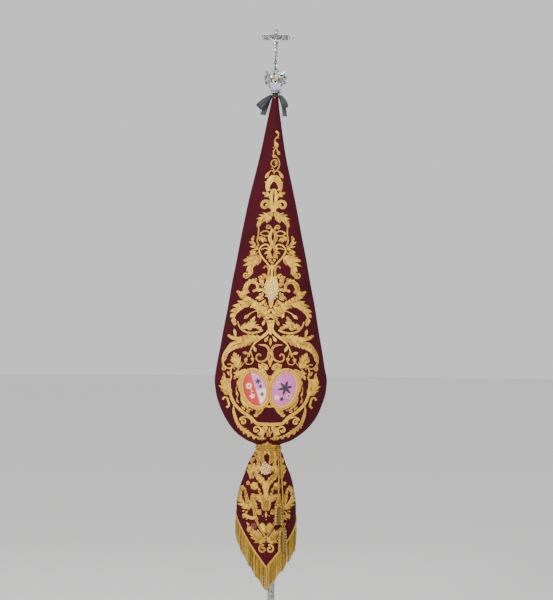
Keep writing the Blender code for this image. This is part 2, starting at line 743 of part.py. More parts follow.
def make_volutes():
    """Four scroll brackets on the bowl, under the corners of the top plate."""
    half_thickness = 0.0036
    upper, upper_radius = (0.0548, 2.4890), 0.0072
    lower, lower_radius = (0.0520, 2.4725), 0.0066
    outline = []
    for step in range(9):
        angle = math.radians(125 - 170 * step / 8)
        outline.append((upper[0] + upper_radius * math.cos(angle), upper[1] + upper_radius * math.sin(angle)))
    for step in range(9):
        angle = math.radians(40 - 180 * step / 8)
        outline.append((lower[0] + lower_radius * math.cos(angle), lower[1] + lower_radius * math.sin(angle)))
    for height in (2.4745, 2.4800, 2.4870, 2.4920):
        outline.append((bowl_radius(height) + SEAT_GAP * 2, height))
    for corner in range(4):
        name = "finial_volute_%d" % (corner + 1)
        curve = bpy.data.curves.new(name, "CURVE")
        curve.dimensions = "2D"
        curve.fill_mode = "BOTH"
        curve.extrude = half_thickness
        curve.materials.append(SILVER)
        spline = curve.splines.new("POLY")
        spline.use_cyclic_u = True
        spline.points.add(len(outline) - 1)
        for spot, (reach, height) in zip(spline.points, outline):
            spot.co = (reach, height, 0, 1)
        piece = bpy.data.objects.new(name, curve)
        piece.rotation_euler = (math.radians(90), 0, math.radians(45 + 90 * corner))
        PARTS.objects.link(piece)


def make_cross():
    """The cross as one flat outline, with sleeves and knops on its ends."""
    bevel = 0.0007
    w, h, a = SHAFT_HALF_WIDTH - bevel, ARM_HALF_HEIGHT - bevel, ARM_HALF_LENGTH - bevel
    foot, head = CROSS_FOOT + bevel - ARM_HEIGHT, CROSS_TOP - bevel - ARM_HEIGHT
    outline = (
        (-w, foot), (w, foot), (w, -h), (a, -h), (a, h), (w, h),
        (w, head), (-w, head), (-w, h), (-a, h), (-a, -h), (-w, -h),
    )
    curve = bpy.data.curves.new("cross_body", "CURVE")
    curve.dimensions = "2D"
    curve.fill_mode = "BOTH"
    curve.extrude = CROSS_HALF_DEPTH - bevel
    curve.bevel_depth = bevel
    curve.bevel_resolution = 0
    curve.materials.append(SILVER)
    spline = curve.splines.new("POLY")
    spline.use_cyclic_u = True
    spline.points.add(len(outline) - 1)
    for spot, (x, z) in zip(spline.points, outline):
        spot.co = (x, z, 0, 1)
    cross = bpy.data.objects.new("cross_body", curve)
    cross.location = (0, 0, ARM_HEIGHT)
    cross.rotation_euler = (math.radians(90), 0, 0)
    PARTS.objects.link(cross)
    for side, word in ((-1, "left"), (1, "right")):
        near = side * (ARM_HALF_LENGTH + SEAT_GAP)
        far = near + side * SLEEVE_LENGTH
        low = (min(near, far), -0.0052, ARM_HEIGHT - SLEEVE_HALF_HEIGHT)
        high = (max(near, far), 0.0052, ARM_HEIGHT + SLEEVE_HALF_HEIGHT)
        box("cross_sleeve_" + word, low, high, CHASED_SILVER)
        profile = (
            (0, 0.0162), (0.0010, 0.0150), (0.0026, 0.0118), (0.0050, 0.0088), (0.0056, 0.0066),
            (0.0046, 0.0038), (0.0026, 0.0018), (0.0040, 0), (0, 0),
        )
        at = (far + side * SEAT_GAP, 0, ARM_HEIGHT)
        turned("cross_end_" + word, profile, 14, SILVER, at, (0, side * math.pi / 2, 0))
    profile = (
        (0, 0.0325), (0.0010, 0.0300), (0.0026, 0.0265), (0.0054, 0.0215), (0.0050, 0.0185),
        (0.0030, 0.0160), (0.0092, 0.0145), (0.0096, 0.0125), (0.0075, 0.0060), (0.0062, 0), (0, 0),
    )
    turned("cross_top_knop", profile, 14, SILVER, (0, 0, CROSS_TOP + SEAT_GAP))
    low, high = ABACUS_TOP + SEAT_GAP, CROSS_FOOT - SEAT_GAP
    profile = ((0, high), (0.0095, high), (0.0130, low + 0.0055), (0.0112, low + 0.0035), (0.0170, low), (0, low))
    turned("cross_base", profile, 20, SILVER)


# The small cast figure, as joints in millimetres from the middle of the cross's face. Its skin
# is thinner than the joints' radii, so it is brought back to the face by the sink.
FIGURE_SINK = 0.5
FIGURE_JOINTS = (
    # name, x, depth, z, radius, joint it grows from
    ("hips", 0, 6.7, -49, 6.4, None),
    ("waist", 0, 6.0, -36, 5.0, "hips"),
    ("chest", 0, 7.2, -23, 6.8, "waist"),
    ("neck", 0.6, 5.6, -12.5, 3.4, "chest"),
    ("head", 1.4, 6.6, -6.0, 5.4, "neck"),
    ("shoulder_left", -9, 5.0, -15, 3.0, "chest"),
    ("elbow_left", -22, 3.4, -6, 2.4, "shoulder_left"),
    ("hand_left", -38, 2.6, 2.5, 1.9, "elbow_left"),
    ("shoulder_right", 9, 5.0, -15, 3.0, "chest"),
    ("elbow_right", 22, 3.4, -6, 2.4, "shoulder_right"),
    ("hand_right", 38, 2.6, 2.5, 1.9, "elbow_right"),
    ("knees", 0.8, 6.2, -64, 4.6, "hips"),
    ("feet", 0, 3.9, -79, 3.0, "knees"),
)


def make_figure():
    """One small cast figure in front of the cross, grown as a skin round its joints."""
    face = -CROSS_HALF_DEPTH / MM + FIGURE_SINK
    mesh = bpy.data.meshes.new("cross_figure")
    names = [row[0] for row in FIGURE_JOINTS]
    spots = [Vector((x, face - depth, z)) * MM for _, x, depth, z, _, _ in FIGURE_JOINTS]
    spots = [spot + Vector((0, 0, ARM_HEIGHT)) for spot in spots]
    bones = [(names.index(row[5]), names.index(row[0])) for row in FIGURE_JOINTS if row[5]]
    mesh.from_pydata(spots, bones, [])
    piece = place("cross_figure", mesh, SILVER, smooth=False)
    piece.modifiers.new("skin", "SKIN")
    for spot, row in zip(mesh.skin_vertices[0].data, FIGURE_JOINTS):
        spot.radius = (row[4] * MM, row[4] * MM)
    mesh.skin_vertices[0].data[0].use_root = True
    soft = piece.modifiers.new("soft", "SUBSURF")
    soft.levels = 1
    soft.render_levels = 1


def make_button():
    """A gold button at the top of the cloth, under the bow."""
    radius = 0.0041
    x, height = -0.002, CLOTH_TOP - 0.005
    y = front_y(x, height) - radius - 0.0006
    bm = bmesh.new()
    bmesh.ops.create_uvsphere(bm, u_segments=12, v_segments=8, radius=radius)
    bmesh.ops.translate(bm, vec=(x, y, height), verts=bm.verts)
    place("top_button", mesh_from(bm, "top_button"), GOLD_THREAD)


def make_banner():
    make_pole()
    make_cloth()
    make_medallion("medallion_left", -1, RED_FIELD)
    make_medallion("medallion_right", 1, LILAC_FIELD)
    make_frame("frame_left", -1)
    make_frame("frame_right", 1)
    make_fringe("fringe_left", -1)
    make_fringe("fringe_right", 1)
    make_tie()
    make_cord_ends()
    for row in TASSELS:
        make_tassel(*row)
    make_bow()
    make_button()
    make_collar()
    make_basket()
    make_bowl()
    make_abacus()
    make_volutes()
    make_cross()
    make_figure()


make_banner()
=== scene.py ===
"""A church banner of gathered velvet with gold embroidery, on its silver pole.

Metres, +Z up. The pole's axis is the Z axis, the face looks along -Y, +X is to the viewer's right.
"""
import math
import random

import bmesh
import bpy
import numpy as np
from mathutils import Matrix, Vector


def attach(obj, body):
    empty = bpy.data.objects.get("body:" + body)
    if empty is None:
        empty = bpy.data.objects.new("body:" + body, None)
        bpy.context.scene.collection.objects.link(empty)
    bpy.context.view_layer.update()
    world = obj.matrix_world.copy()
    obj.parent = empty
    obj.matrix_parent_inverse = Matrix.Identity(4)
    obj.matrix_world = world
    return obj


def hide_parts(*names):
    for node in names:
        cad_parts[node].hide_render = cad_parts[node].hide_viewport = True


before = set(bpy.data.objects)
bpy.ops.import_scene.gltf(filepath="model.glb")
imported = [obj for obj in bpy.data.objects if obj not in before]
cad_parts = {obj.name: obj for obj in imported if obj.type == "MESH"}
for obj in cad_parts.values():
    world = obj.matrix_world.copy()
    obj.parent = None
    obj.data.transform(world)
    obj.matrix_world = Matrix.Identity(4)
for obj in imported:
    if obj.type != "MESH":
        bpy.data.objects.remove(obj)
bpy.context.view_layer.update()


# Camera: level and square to the banner's face, well back, as a long lens sees it. The view is
# 2.4 m high, and the camera is rolled a little, so the pole leans to the right at its top.
VIEW_HEIGHT = 2.4
VIEW_DISTANCE = 7.0
VIEW_CENTRE = (0.0116, 1.602)
CAMERA_ROLL = math.radians(0.51)

camera_data = bpy.data.cameras.new("camera")
camera_data.lens = camera_data.sensor_width * VIEW_DISTANCE / VIEW_HEIGHT
camera = bpy.data.objects.new("camera", camera_data)
camera.location = (VIEW_CENTRE[0], -VIEW_DISTANCE, VIEW_CENTRE[1])
camera.rotation_euler = (
    Matrix.Rotation(math.radians(90), 3, "X") @ Matrix.Rotation(CAMERA_ROLL, 3, "Z")
).to_euler()
bpy.context.scene.collection.objects.link(camera)
bpy.context.scene.camera = camera


# Tie cord ends: two free lengths of three-ply cord, laid up from gilt-wrapped cotton. They leave
# the knot, run down over the tail and end in the tassels' heads. They hang by their own weight.
MM = 0.001
CORD_DIAMETER = 0.007
CORD_LAY = 0.021              # the length of one whole turn of a ply
CORD_PLIES = 3
CORD_SIDES = 24
CORD_STEP = 0.0012
ROUTE_STEP = 0.009
ROUTE_POINTS = 20             # worked out from each point of a route to the next
SHORT_END_ROUTE = (           # x, y, z in millimetres, from the knot down to the tassel
    (23.6, -29, 1003.4), (24.6, -34, 985), (26.4, -45, 946), (27.3, -57, 898),
    (27.2, -67, 856), (26.4, -74, 828), (26, -76.5, 812), (26, -76.5, 805.1),
)
LONG_END_ROUTE = (
    (31, -28.5, 1003.4), (33, -31.5, 984), (36, -42, 946), (38.5, -52.5, 898),
    (42, -59.5, 850), (44, -62, 800), (44.8, -64.5, 750), (44.4, -68.5, 726), (43, -71.5, 711),
    (43, -71.5, 704.7),
)


def linear(code):
    """A colour from its sRGB hex code, as linear red, green, blue and alpha."""
    parts = [int(code[i:i + 2], 16) / 255 for i in (1, 3, 5)]
    return (*[p / 12.92 if p <= 0.04045 else ((p + 0.055) / 1.055) ** 2.4 for p in parts], 1.0)


def add(tree, kind, settings=None, links=None):
    """Adds a node: settings name its own properties or inputs, and links give sockets to inputs."""
    node = tree.nodes.new("ShaderNode" + kind)
    for key, value in (settings or {}).items():
        if isinstance(key, int) or key in node.inputs:
            node.inputs[key].default_value = value
        else:
            setattr(node, key, value)
    for key, socket in (links or {}).items():
        tree.links.new(socket, node.inputs[key])
    return node


def weighted_sum(tree, first, weight, second):
    """A node that adds a share of one socket to another."""
    return add(tree, "Math", {"operation": "MULTIPLY_ADD", 1: weight}, {0: first, 2: second})


def finish_surface(tree, shader, colour, height, strength, depth):
    """Wires a colour and a fine relief to a material's shader."""
    tree.links.new(colour, shader.inputs["Base Color"])
    bump = add(tree, "Bump", {"Strength": strength, "Distance": depth}, {"Height": height})
    tree.links.new(bump.outputs[0], shader.inputs["Normal"])


def new_material(name, settings):
    """A material with its one surface shader, whose uniform values are set on its own sockets."""
    material = bpy.data.materials.new(name)
    material.use_nodes = True
    shader = material.node_tree.nodes["Principled BSDF"]
    for key, value in settings.items():
        shader.inputs[key].default_value = value
    return material, material.node_tree, shader


def thread_material(name, colours, edge_cord_and_glint_colour, roughness, metallic, pitch, depth):
    """Gilt thread laid side by side, with a twisted edge cord where the piece has one.

    The threads lie across each form, so their lines follow its length. Colours are the painted shade
    between threads, the thread's own gold, and its lightest strands, with small painted glints in a fine
    speckle. Where the rim attribute is 1 the lines slant as in a twisted cord and the edge colour is
    mixed in: a painted highlight on sewn edges and coiled studs, and a braid's own gold.
    """
    material, tree, shader = new_material(name, {"Roughness": roughness, "Metallic": metallic})
    place = add(tree, "UVMap", {"uv_map": "thread"})
    apart = add(tree, "SeparateXYZ", links={0: place.outputs["UV"]})
    rim = add(tree, "Attribute", {"attribute_name": "rim"})
    tone = add(tree, "Attribute", {"attribute_name": "tone"})
    lines = add(tree, "Math", {"operation": "MULTIPLY", 1: 2 * math.pi / pitch}, {0: apart.outputs[0]})
    slant = add(tree, "Math", {"operation": "MULTIPLY", 1: 2 * math.pi / (pitch * 2)}, {0: apart.outputs[1]})
    lean = add(tree, "Math", {"operation": "MULTIPLY"}, {0: slant.outputs[0], 1: rim.outputs["Fac"]})
    phase = add(tree, "Math", {"operation": "ADD"}, {0: lines.outputs[0], 1: lean.outputs[0]})
    wave = add(tree, "Math", {"operation": "SINE"}, {0: phase.outputs[0]})
    # Fine speckle: small painted glints in the colour, and a fine bump.
    glint_speckle = add(tree, "TexNoise", {"Scale": 340.0, "Detail": 3.0})
    spread = add(tree, "TexNoise", {"Scale": 38.0, "Detail": 2.0})
    mixed = weighted_sum(tree, wave.outputs[0], 0.16, glint_speckle.outputs["Fac"])
    shade = weighted_sum(tree, spread.outputs["Fac"], 0.55, mixed.outputs[0])
    toned = weighted_sum(tree, tone.outputs["Fac"], 0.30, shade.outputs[0])
    even = add(tree, "MapRange", {"From Min": 0.62, "From Max": 1.24}, {"Value": toned.outputs[0]})
    ramp = add(tree, "ValToRGB", links={0: even.outputs[0]})
    stops = ramp.color_ramp.elements
    stops[0].position, stops[0].color = 0.10, linear(colours[0])
    stops[1].position, stops[1].color = 0.92, linear(colours[2])
    middle = stops.new(0.50)
    middle.color = linear(colours[1])
    # Edge colour mixed in by the rim attribute: a painted highlight on sewn edges and studs, a plain gold on a
    # braid.
    edge = add(tree, "Mix", {"data_type": "RGBA", 7: linear(edge_cord_and_glint_colour)},
               {0: rim.outputs["Fac"], 6: ramp.outputs[0]})
    height = weighted_sum(tree, wave.outputs[0], 0.5, glint_speckle.outputs["Fac"])
    finish_surface(tree, shader, edge.outputs[2], height.outputs[0], 0.8, depth)
    return material


def turn_outward(mesh):
    """Turns every face of a mesh of closed forms outward."""
    work = bmesh.new()
    work.from_mesh(mesh)
    bmesh.ops.recalc_face_normals(work, faces=work.faces)
    work.to_mesh(mesh)
    work.free()


class Bundle:
    """Collects many closed forms into one mesh, each a grid of points with its own tone."""

    def __init__(self):
        self.points, self.quads, self.caps = [], [], []
        self.places, self.rims, self.tones = [], [], []
        self.count = 0

    def tube(self, grid, along=None, across=None, rim=None, tone=0.5):
        """Adds a tube through rows of points, closed round its columns and at both ends."""
        rows, columns = grid.shape[:2]
        index = np.arange(rows * columns).reshape(rows, columns) + self.count
        right = np.roll(index, -1, axis=1)
        quads = np.stack([index[:-1], index[1:], right[1:], right[:-1]], axis=-1)
        along = np.zeros(rows) if along is None else along
        across = np.linspace(0, 0.01, columns + 1) if across is None else np.append(across, across[-1])
        u = np.repeat(along[:, None], columns + 1, axis=1)
        v = np.repeat(across[None, :], rows, axis=0)
        uv = np.stack([u, v], axis=-1)
        corners = [uv[:-1, :-1], uv[1:, :-1], uv[1:, 1:], uv[:-1, 1:]]
        self.points.append(grid.reshape(-1, 3))
        self.quads.append(quads.reshape(-1, 4))
        self.places.append(np.stack(corners, axis=2).reshape(-1, 2))
        self.caps += [index[0].tolist(), index[-1][::-1].tolist()]
        rims = np.zeros((rows, columns)) if rim is None else np.broadcast_to(rim, (rows, columns))
        self.rims.append(rims.reshape(-1))
        self.tones.append(np.full(rows * columns, tone))
        self.count += rows * columns

    def piece(self, name, material):
        """Makes the mesh, in the scene, riding on the part's one body."""
        mesh = bpy.data.meshes.new(name)
        quads = np.concatenate(self.quads)
        mesh.from_pydata(np.concatenate(self.points).tolist(), [], quads.tolist() + self.caps)
        layer = mesh.uv_layers.new(name="thread")
        places = np.zeros((len(mesh.loops), 2))
        side = np.concatenate(self.places)
        places[:len(side)] = side
        layer.data.foreach_set("uv", places.reshape(-1))
        for label, values in (("rim", self.rims), ("tone", self.tones)):
            column = mesh.attributes.new(label, "FLOAT", "POINT")
            column.data.foreach_set("value", np.concatenate(values))
        turn_outward(mesh)
        mesh.shade_smooth()
        return put(name, mesh, material)


def put(name, mesh, material):
    """Puts a mesh in the scene as a piece that moves with the part's one body."""
    mesh.materials.append(material)
    piece = bpy.data.objects.new(name, mesh)
    bpy.context.scene.collection.objects.link(piece)
    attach(piece, "root")
    return piece


def walk(points):
    """How far along a line of points each one lies."""
    return np.concatenate([[0], np.cumsum(np.linalg.norm(np.diff(points, axis=0), axis=1))])


def curve_through(rows, count):
    """A smooth curve through a table's rows, with a count of points from each row to the next."""
    rows = np.array(rows, dtype=float)
    knots = np.vstack([2 * rows[0] - rows[1], rows, 2 * rows[-1] - rows[-2]])
    t = np.linspace(0, 1, count, endpoint=False)[:, None]
    fine = []
    for a, b, c, d in zip(knots, knots[1:], knots[2:], knots[3:]):
        bend = (2 * a - 5 * b + 4 * c - d) * t ** 2 + (3 * b - a - 3 * c + d) * t ** 3
        fine.append((2 * b + (c - a) * t + bend) / 2)
    return np.vstack(fine + [rows[-1:]])


def smooth_route(route, step):
    """Points a step apart, in metres, on a smooth curve through a route in millimetres."""
    fine = curve_through(route, ROUTE_POINTS) * MM
    walked = walk(fine)
    wanted = np.linspace(0, walked[-1], int(round(walked[-1] / step)) + 1)
    return np.stack([np.interp(wanted, walked, column) for column in fine.T], axis=1)


def rope_grid(points, radius, plies, lay, sides, groove=0.26, scale=None, start=0.0):
    """The rings of a laid rope along a line of points: lobed sections that turn as they go."""
    tangents = np.gradient(points, axis=0)
    tangents /= np.linalg.norm(tangents, axis=1)[:, None]
    across = np.cross(tangents[0], (0.31, 0.17, 0.94))
    if np.linalg.norm(across) < 0.2:
        across = np.cross(tangents[0], (0.9, 0.4, 0.1))
    along = walk(points)
    turns = np.linspace(0, 2 * math.pi, sides, endpoint=False)
    rings = []
    for i, (point, tangent) in enumerate(zip(points, tangents)):
        across = across - tangent * across.dot(tangent)
        across /= np.linalg.norm(across)
        up = np.cross(tangent, across)
        twist = 2 * math.pi * along[i] / lay + start
        lobes = np.abs(np.cos(plies / 2 * (turns - twist)))
        size = radius * (1 - groove + groove * lobes) * (1.0 if scale is None else scale[i])
        ring = point + np.outer(np.cos(turns) * size, across) + np.outer(np.sin(turns) * size, up)
        rings.append(ring)
    return np.array(rings)


GOLD_CORD = thread_material(
    "gilt_laid_cord", ("#3f2304", "#a9731c", "#f0cb70"), "#b98528", 0.34, 0.75, 0.0016, 0.0005
)


def laid_cord(name, points, radius):
    """One piece of three-ply cord."""
    bundle = Bundle()
    grid = rope_grid(points, radius, CORD_PLIES, CORD_LAY, CORD_SIDES)
    bundle.tube(grid, walk(points), np.linspace(0, 2 * math.pi * radius, CORD_SIDES))
    return bundle.piece(name, GOLD_CORD)


cord_routes = {"short": SHORT_END_ROUTE, "long": LONG_END_ROUTE}
for end, route in cord_routes.items():
    cord = laid_cord("tie_end_" + end, smooth_route(route, CORD_STEP), CORD_DIAMETER / 2)
    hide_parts("cord_end_" + end)


# Tassels: a turned wooden mould wound with gilt thread, a ruff round its foot, and a skirt of
# bullion, which is fine gilt wire coiled tight and doubled into hanging twisted loops.
TASSELS = (                   # x, y and top; half width, head height and full length, millimetres
    ("short", 26, -76.5, 804.7, 14.5, 20, 96),
    ("long", 43, -71.5, 704.2, 17.0, 17, 100),
)
BULLION_RADIUS = 0.0015
BULLION_LAY = 0.0070
BULLION_STEP = 0.0011
SKIRT_RINGS = ((0.92, 22, 0.0), (0.66, 16, 0.5), (0.38, 9, 0.2))  # share of radius, count, phase
HEAD_STEPS = 48
BULLION_SIDES = 6
BULLION_GROOVE = 0.36
STRAND_UNEVEN = 0.004         # how much shorter than the skirt a strand may be
STRAND_SWAY = 0.0006
STUDDED_EVERY = 7             # one outer strand in so many carries coiled studs, swelled and painted bright as glints
STUD_PITCH = 0.011
STUD_SHARE = 0.4
STUD_SWELL = 0.7
MOULD_THREAD = 0.0012         # pitch of the thread wound round the mould
MOULD_RIDGE = 0.0004
RUFFS = ((0.0022, 0.86), (0.0100, 0.70))     # height over the head's foot, share of its radius
RUFF_RADIUS = 0.0019
RUFF_LAY = 0.008
RUFF_STEPS = 90

# The pale edge colour, #ffe2a0, paints bright glints on the skirt's coiled studs.
BULLION = thread_material(
    "gilt_bullion", ("#2a1902", "#80560a", "#f0c45c"), "#ffe2a0", 0.32, 0.50, 0.0011, 0.0004
)


def about_axis(turns, size, height):
    """Points at their turns, distances and heights about an upright axis."""
    return np.stack([np.cos(turns) * size, np.sin(turns) * size, height + 0 * turns], axis=-1)


def turned_grid(profile, steps, centre=(0, 0, 0)):
    """Rings of a turned form: a profile of radius and height, top to bottom, spun round Z."""
    turns = np.linspace(0, 2 * math.pi, steps, endpoint=False)
    spin = np.stack([np.cos(turns), np.sin(turns), np.zeros(steps)], axis=1)
    return np.array([spin * max(r, 0.00005) + (0, 0, h) for r, h in profile]) + np.array(centre)


def fine_profile(points, step):
    """A profile smoothed through its own points, a step apart."""
    return smooth_route([(r / MM, 0, h / MM) for r, h in points], step)[:, [0, 2]]


def wound(profile, pitch, depth):
    """The same profile with the ridges of thread wound round it."""
    along = walk(profile)
    ridge = depth * np.abs(np.sin(math.pi * along / pitch))
    return np.stack([profile[:, 0] + ridge * np.minimum(1, profile[:, 0] / 0.002), profile[:, 1]], axis=1)


draw = random.Random(7)
for end, x, y, top, half_width, head_height, length in TASSELS:
    radius = half_width * MM
    base = -head_height * MM
    centre = np.array((x, y, top)) * MM
    head = Bundle()
    shape = fine_profile((
        (0.0001, 0.0), (0.0046, -0.0004), (0.0058, -0.0030), (0.0046, -0.0056),
        (radius * 0.62, -0.0086), (radius * 0.84, -0.0125), (radius * 0.80, base + 0.0035),
        (radius * 0.74, base + 0.0030), (radius * 0.74, base), (0.0001, base),
    ), 0.0003)
    head.tube(turned_grid(wound(shape, MOULD_THREAD, MOULD_RIDGE), HEAD_STEPS, centre), walk(shape))
    ruff_turns = np.linspace(0, 2 * math.pi, RUFF_STEPS)
    for rise, share in RUFFS:
        ruff = about_axis(ruff_turns, radius * share, base + rise) + centre
        head.tube(rope_grid(ruff, RUFF_RADIUS, CORD_PLIES, RUFF_LAY, 10), walk(ruff), tone=0.9)
    head_piece = head.piece("tassel_mould_" + end, BULLION)
    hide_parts("tassel_head_" + end)

    skirt = Bundle()
    drop = (length - head_height) * MM
    for share, count, phase in SKIRT_RINGS:
        for strand in range(count):
            turn = 2 * math.pi * (strand + phase) / count + draw.uniform(-0.05, 0.05)
            reach = drop - BULLION_RADIUS - draw.uniform(0, STRAND_UNEVEN)
            fall = np.arange(0, reach, BULLION_STEP)
            splay = radius * share * (0.80 + 0.16 * np.minimum(fall / 0.03, 1))
            sway = STRAND_SWAY * np.sin(fall / 0.016 + draw.uniform(0, 6))
            line = about_axis(turn, splay + sway, base - fall) + centre
            taper = np.clip((reach - fall) / 0.003, 0.35, 1)
            # Studs: lengths of an outer strand swelled into coils and given the pale edge colour, as painted
            # glints.
            studs = np.zeros(len(fall))
            if share == SKIRT_RINGS[0][0] and strand % STUDDED_EVERY == 0:
                studs[np.mod(fall, STUD_PITCH) < STUD_PITCH * STUD_SHARE] = 1
            size = taper * (1 + STUD_SWELL * studs)
            rope = rope_grid(line, BULLION_RADIUS, 2, BULLION_LAY, BULLION_SIDES, BULLION_GROOVE, size,
                             draw.uniform(0, 6))
            skirt.tube(rope, fall, rim=studs[:, None], tone=draw.random())
    skirt_piece = skirt.piece("tassel_bullion_" + end, BULLION)
    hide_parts("tassel_skirt_" + end)

    route = smooth_route(cord_routes[end], ROUTE_STEP)


# Flag: one width of silk velvet, lined, gathered up under the finial, wrapped round the pole and
# lapped behind it. The tie draws it in to a neck, and below that its point hangs as a tail.
CLOTH_THICKNESS = 0.003
CLOTH_TOP = 2.414
TIE_HEIGHT = 1.014
TAIL_POINT = 0.539
LAP_DEPTH = 0.006
LAP_HALF_WIDTH = 0.012
LAP_START, LAP_EASE = 0.62, 0.33      # shares of the half turn at which the upper edge lifts
LEFT_HEM_SLOPE = 1.45         # rise of the tail's lower edge for each metre round the cloth
RIGHT_HEM_SLOPE = 1.28
CLOTH_COLUMNS = 150
DROP_STEPS = 120
NECK_STEPS = 26
TAIL_STEPS = 40
NECK_REACH = 0.10             # the rows lie closer within this height of the tie
GATHER_COUNT = 10
GATHER_DEPTH = 0.0034
GATHER_REACH = 0.038
GATHER_PHASE = 0.6
TAIL_FOLD_COUNT = 5
TAIL_FOLD_DEPTH = 0.0022
TAIL_FOLD_PHASE = 2.1
PUCKER_DEPTH = 0.0007         # soft unevenness where the heavy sewing draws the velvet
CLOTH_SECTIONS = (            # height, left, right, front and back from the pole, millimetres
    (2414, 10.6, 10.2, 10.4, 10.4), (2374, 19, 14, 15, 14), (2314, 31, 22, 22, 18),
    (2194, 55, 40, 34, 24), (2002, 101, 81, 50, 32), (1810, 139, 119, 62, 38),
    (1618, 174, 156, 72, 44), (1426, 208, 190, 81, 49), (1330, 226, 206, 85, 51),
    (1282, 231, 215, 86, 52), (1234, 227, 211, 86, 52), (1186, 214, 197, 84, 51),
    (1138, 193, 177, 79, 48), (1090, 161, 141, 70, 43), (1066, 137, 113, 62, 39),
    (1042, 100, 75, 50, 34), (1024, 63, 31, 35, 28), (1014, 60, 28, 33, 26),
    (1004, 62, 30, 34, 27), (988, 72, 38, 37, 29), (946, 95, 53, 45, 32),
    (898, 112, 75, 53, 36), (850, 127, 87, 58, 39), (778, 138, 97, 60, 40),
    (682, 138, 98, 60, 40), (539, 138, 98, 60, 40),
)


class Profile:
    """A smooth curve through a table's column against height, with no overshoot between rows."""

    def __init__(self, heights, values):
        self.heights, self.values = np.array(heights), np.array(values)
        slopes = np.diff(self.values) / np.diff(self.heights)
        self.tangents = np.zeros(len(values))
        for i in range(1, len(values) - 1):
            if slopes[i - 1] * slopes[i] > 0:
                self.tangents[i] = 2 / (1 / slopes[i - 1] + 1 / slopes[i])
        self.tangents[0], self.tangents[-1] = slopes[0], slopes[-1]

    def at(self, height):
        """The column's value at each height."""
        i = np.clip(np.searchsorted(self.heights, height) - 1, 0, len(self.heights) - 2)
        step = self.heights[i + 1] - self.heights[i]
        t = np.clip((height - self.heights[i]) / step, 0, 1)
        rise = self.values[i + 1] - self.values[i]
        a, b = self.tangents[i] * step, self.tangents[i + 1] * step
        bend = (a + b - 2 * rise) * t + (3 * rise - 2 * a - b)
        return self.values[i] + a * t + bend * t * t


cloth_table = np.array(sorted(CLOTH_SECTIONS)) * MM
LEFT, RIGHT, FRONT, BACK = [Profile(cloth_table[:, 0], cloth_table[:, c]) for c in (1, 2, 3, 4)]


def smooth_step(share):
    """An even rise from 0 to 1 as the share goes from 0 to 1."""
    t = np.clip(share, 0, 1)
    return t * t * (3 - 2 * t)


def fold_depth(angle, height):
    """How far the gathers, the tail's folds and the puckers push the cloth out at each place."""
    away = np.abs(height - TIE_HEIGHT) / GATHER_REACH
    gather = GATHER_DEPTH * away * np.exp(1 - away) * (0.2 + 0.8 * np.sin(angle) ** 2)
    tail = smooth_step((TIE_HEIGHT - 0.06 - height) / 0.12)
    drop = smooth_step((height - TIE_HEIGHT - 0.10) / 0.2) * smooth_step((2.3 - height) / 0.3)
    pucker = np.sin(angle * 9 + height * 4) * np.sin(height * 31 + angle * 2)
    return (gather * np.cos(GATHER_COUNT * angle + GATHER_PHASE)
            + TAIL_FOLD_DEPTH * tail * np.cos(TAIL_FOLD_COUNT * angle + TAIL_FOLD_PHASE)
            + PUCKER_DEPTH * drop * pucker)


def lap_rise(angle):
    """How far the upper of the two edges at the back stands out over the lower one."""
    return LAP_DEPTH * smooth_step((angle / math.pi - LAP_START) / LAP_EASE)


def cloth_point(angle, height, lift=0.0):
    """Points of the cloth's middle surface. The angle runs from 0 at the front, plus to the right."""
    left, right = LEFT.at(height), RIGHT.at(height)
    middle, half_width = (right - left) / 2, (left + right) / 2
    depth = np.where(np.cos(angle) > 0, FRONT.at(height), BACK.at(height) + lap_rise(angle))
    x = half_width * np.sin(angle)
    y = -depth * np.cos(angle)
    out_x, out_y = x / half_width ** 2, y / depth ** 2
    size = np.hypot(out_x, out_y)
    push = (fold_depth(angle, height) + lift) / size
    return np.stack([middle + x + out_x * push, y + out_y * push, height + 0 * x], axis=-1)


def lap_angle(height):
    """How far past the middle of the back the cloth's edges reach, as an angle."""
    half_width = (LEFT.at(height) + RIGHT.at(height)) / 2
    return np.arcsin(np.minimum(LAP_HALF_WIDTH, half_width / 2) / half_width)


HEM_STEPS = 400
HEM_MEASURE_HEIGHT = 0.60     # distances round the tail are measured at this height
hem_angles = np.linspace(0, math.pi * 1.1, HEM_STEPS)
hem_distances = walk(cloth_point(hem_angles, np.full(HEM_STEPS, HEM_MEASURE_HEIGHT)))


def hem_height(angle):
    """The height of the tail's lower edge, which rises evenly from its point, round to the back."""
    slope = np.where(angle > 0, RIGHT_HEM_SLOPE, LEFT_HEM_SLOPE)
    return TAIL_POINT + slope * np.interp(np.abs(angle), hem_angles, hem_distances)


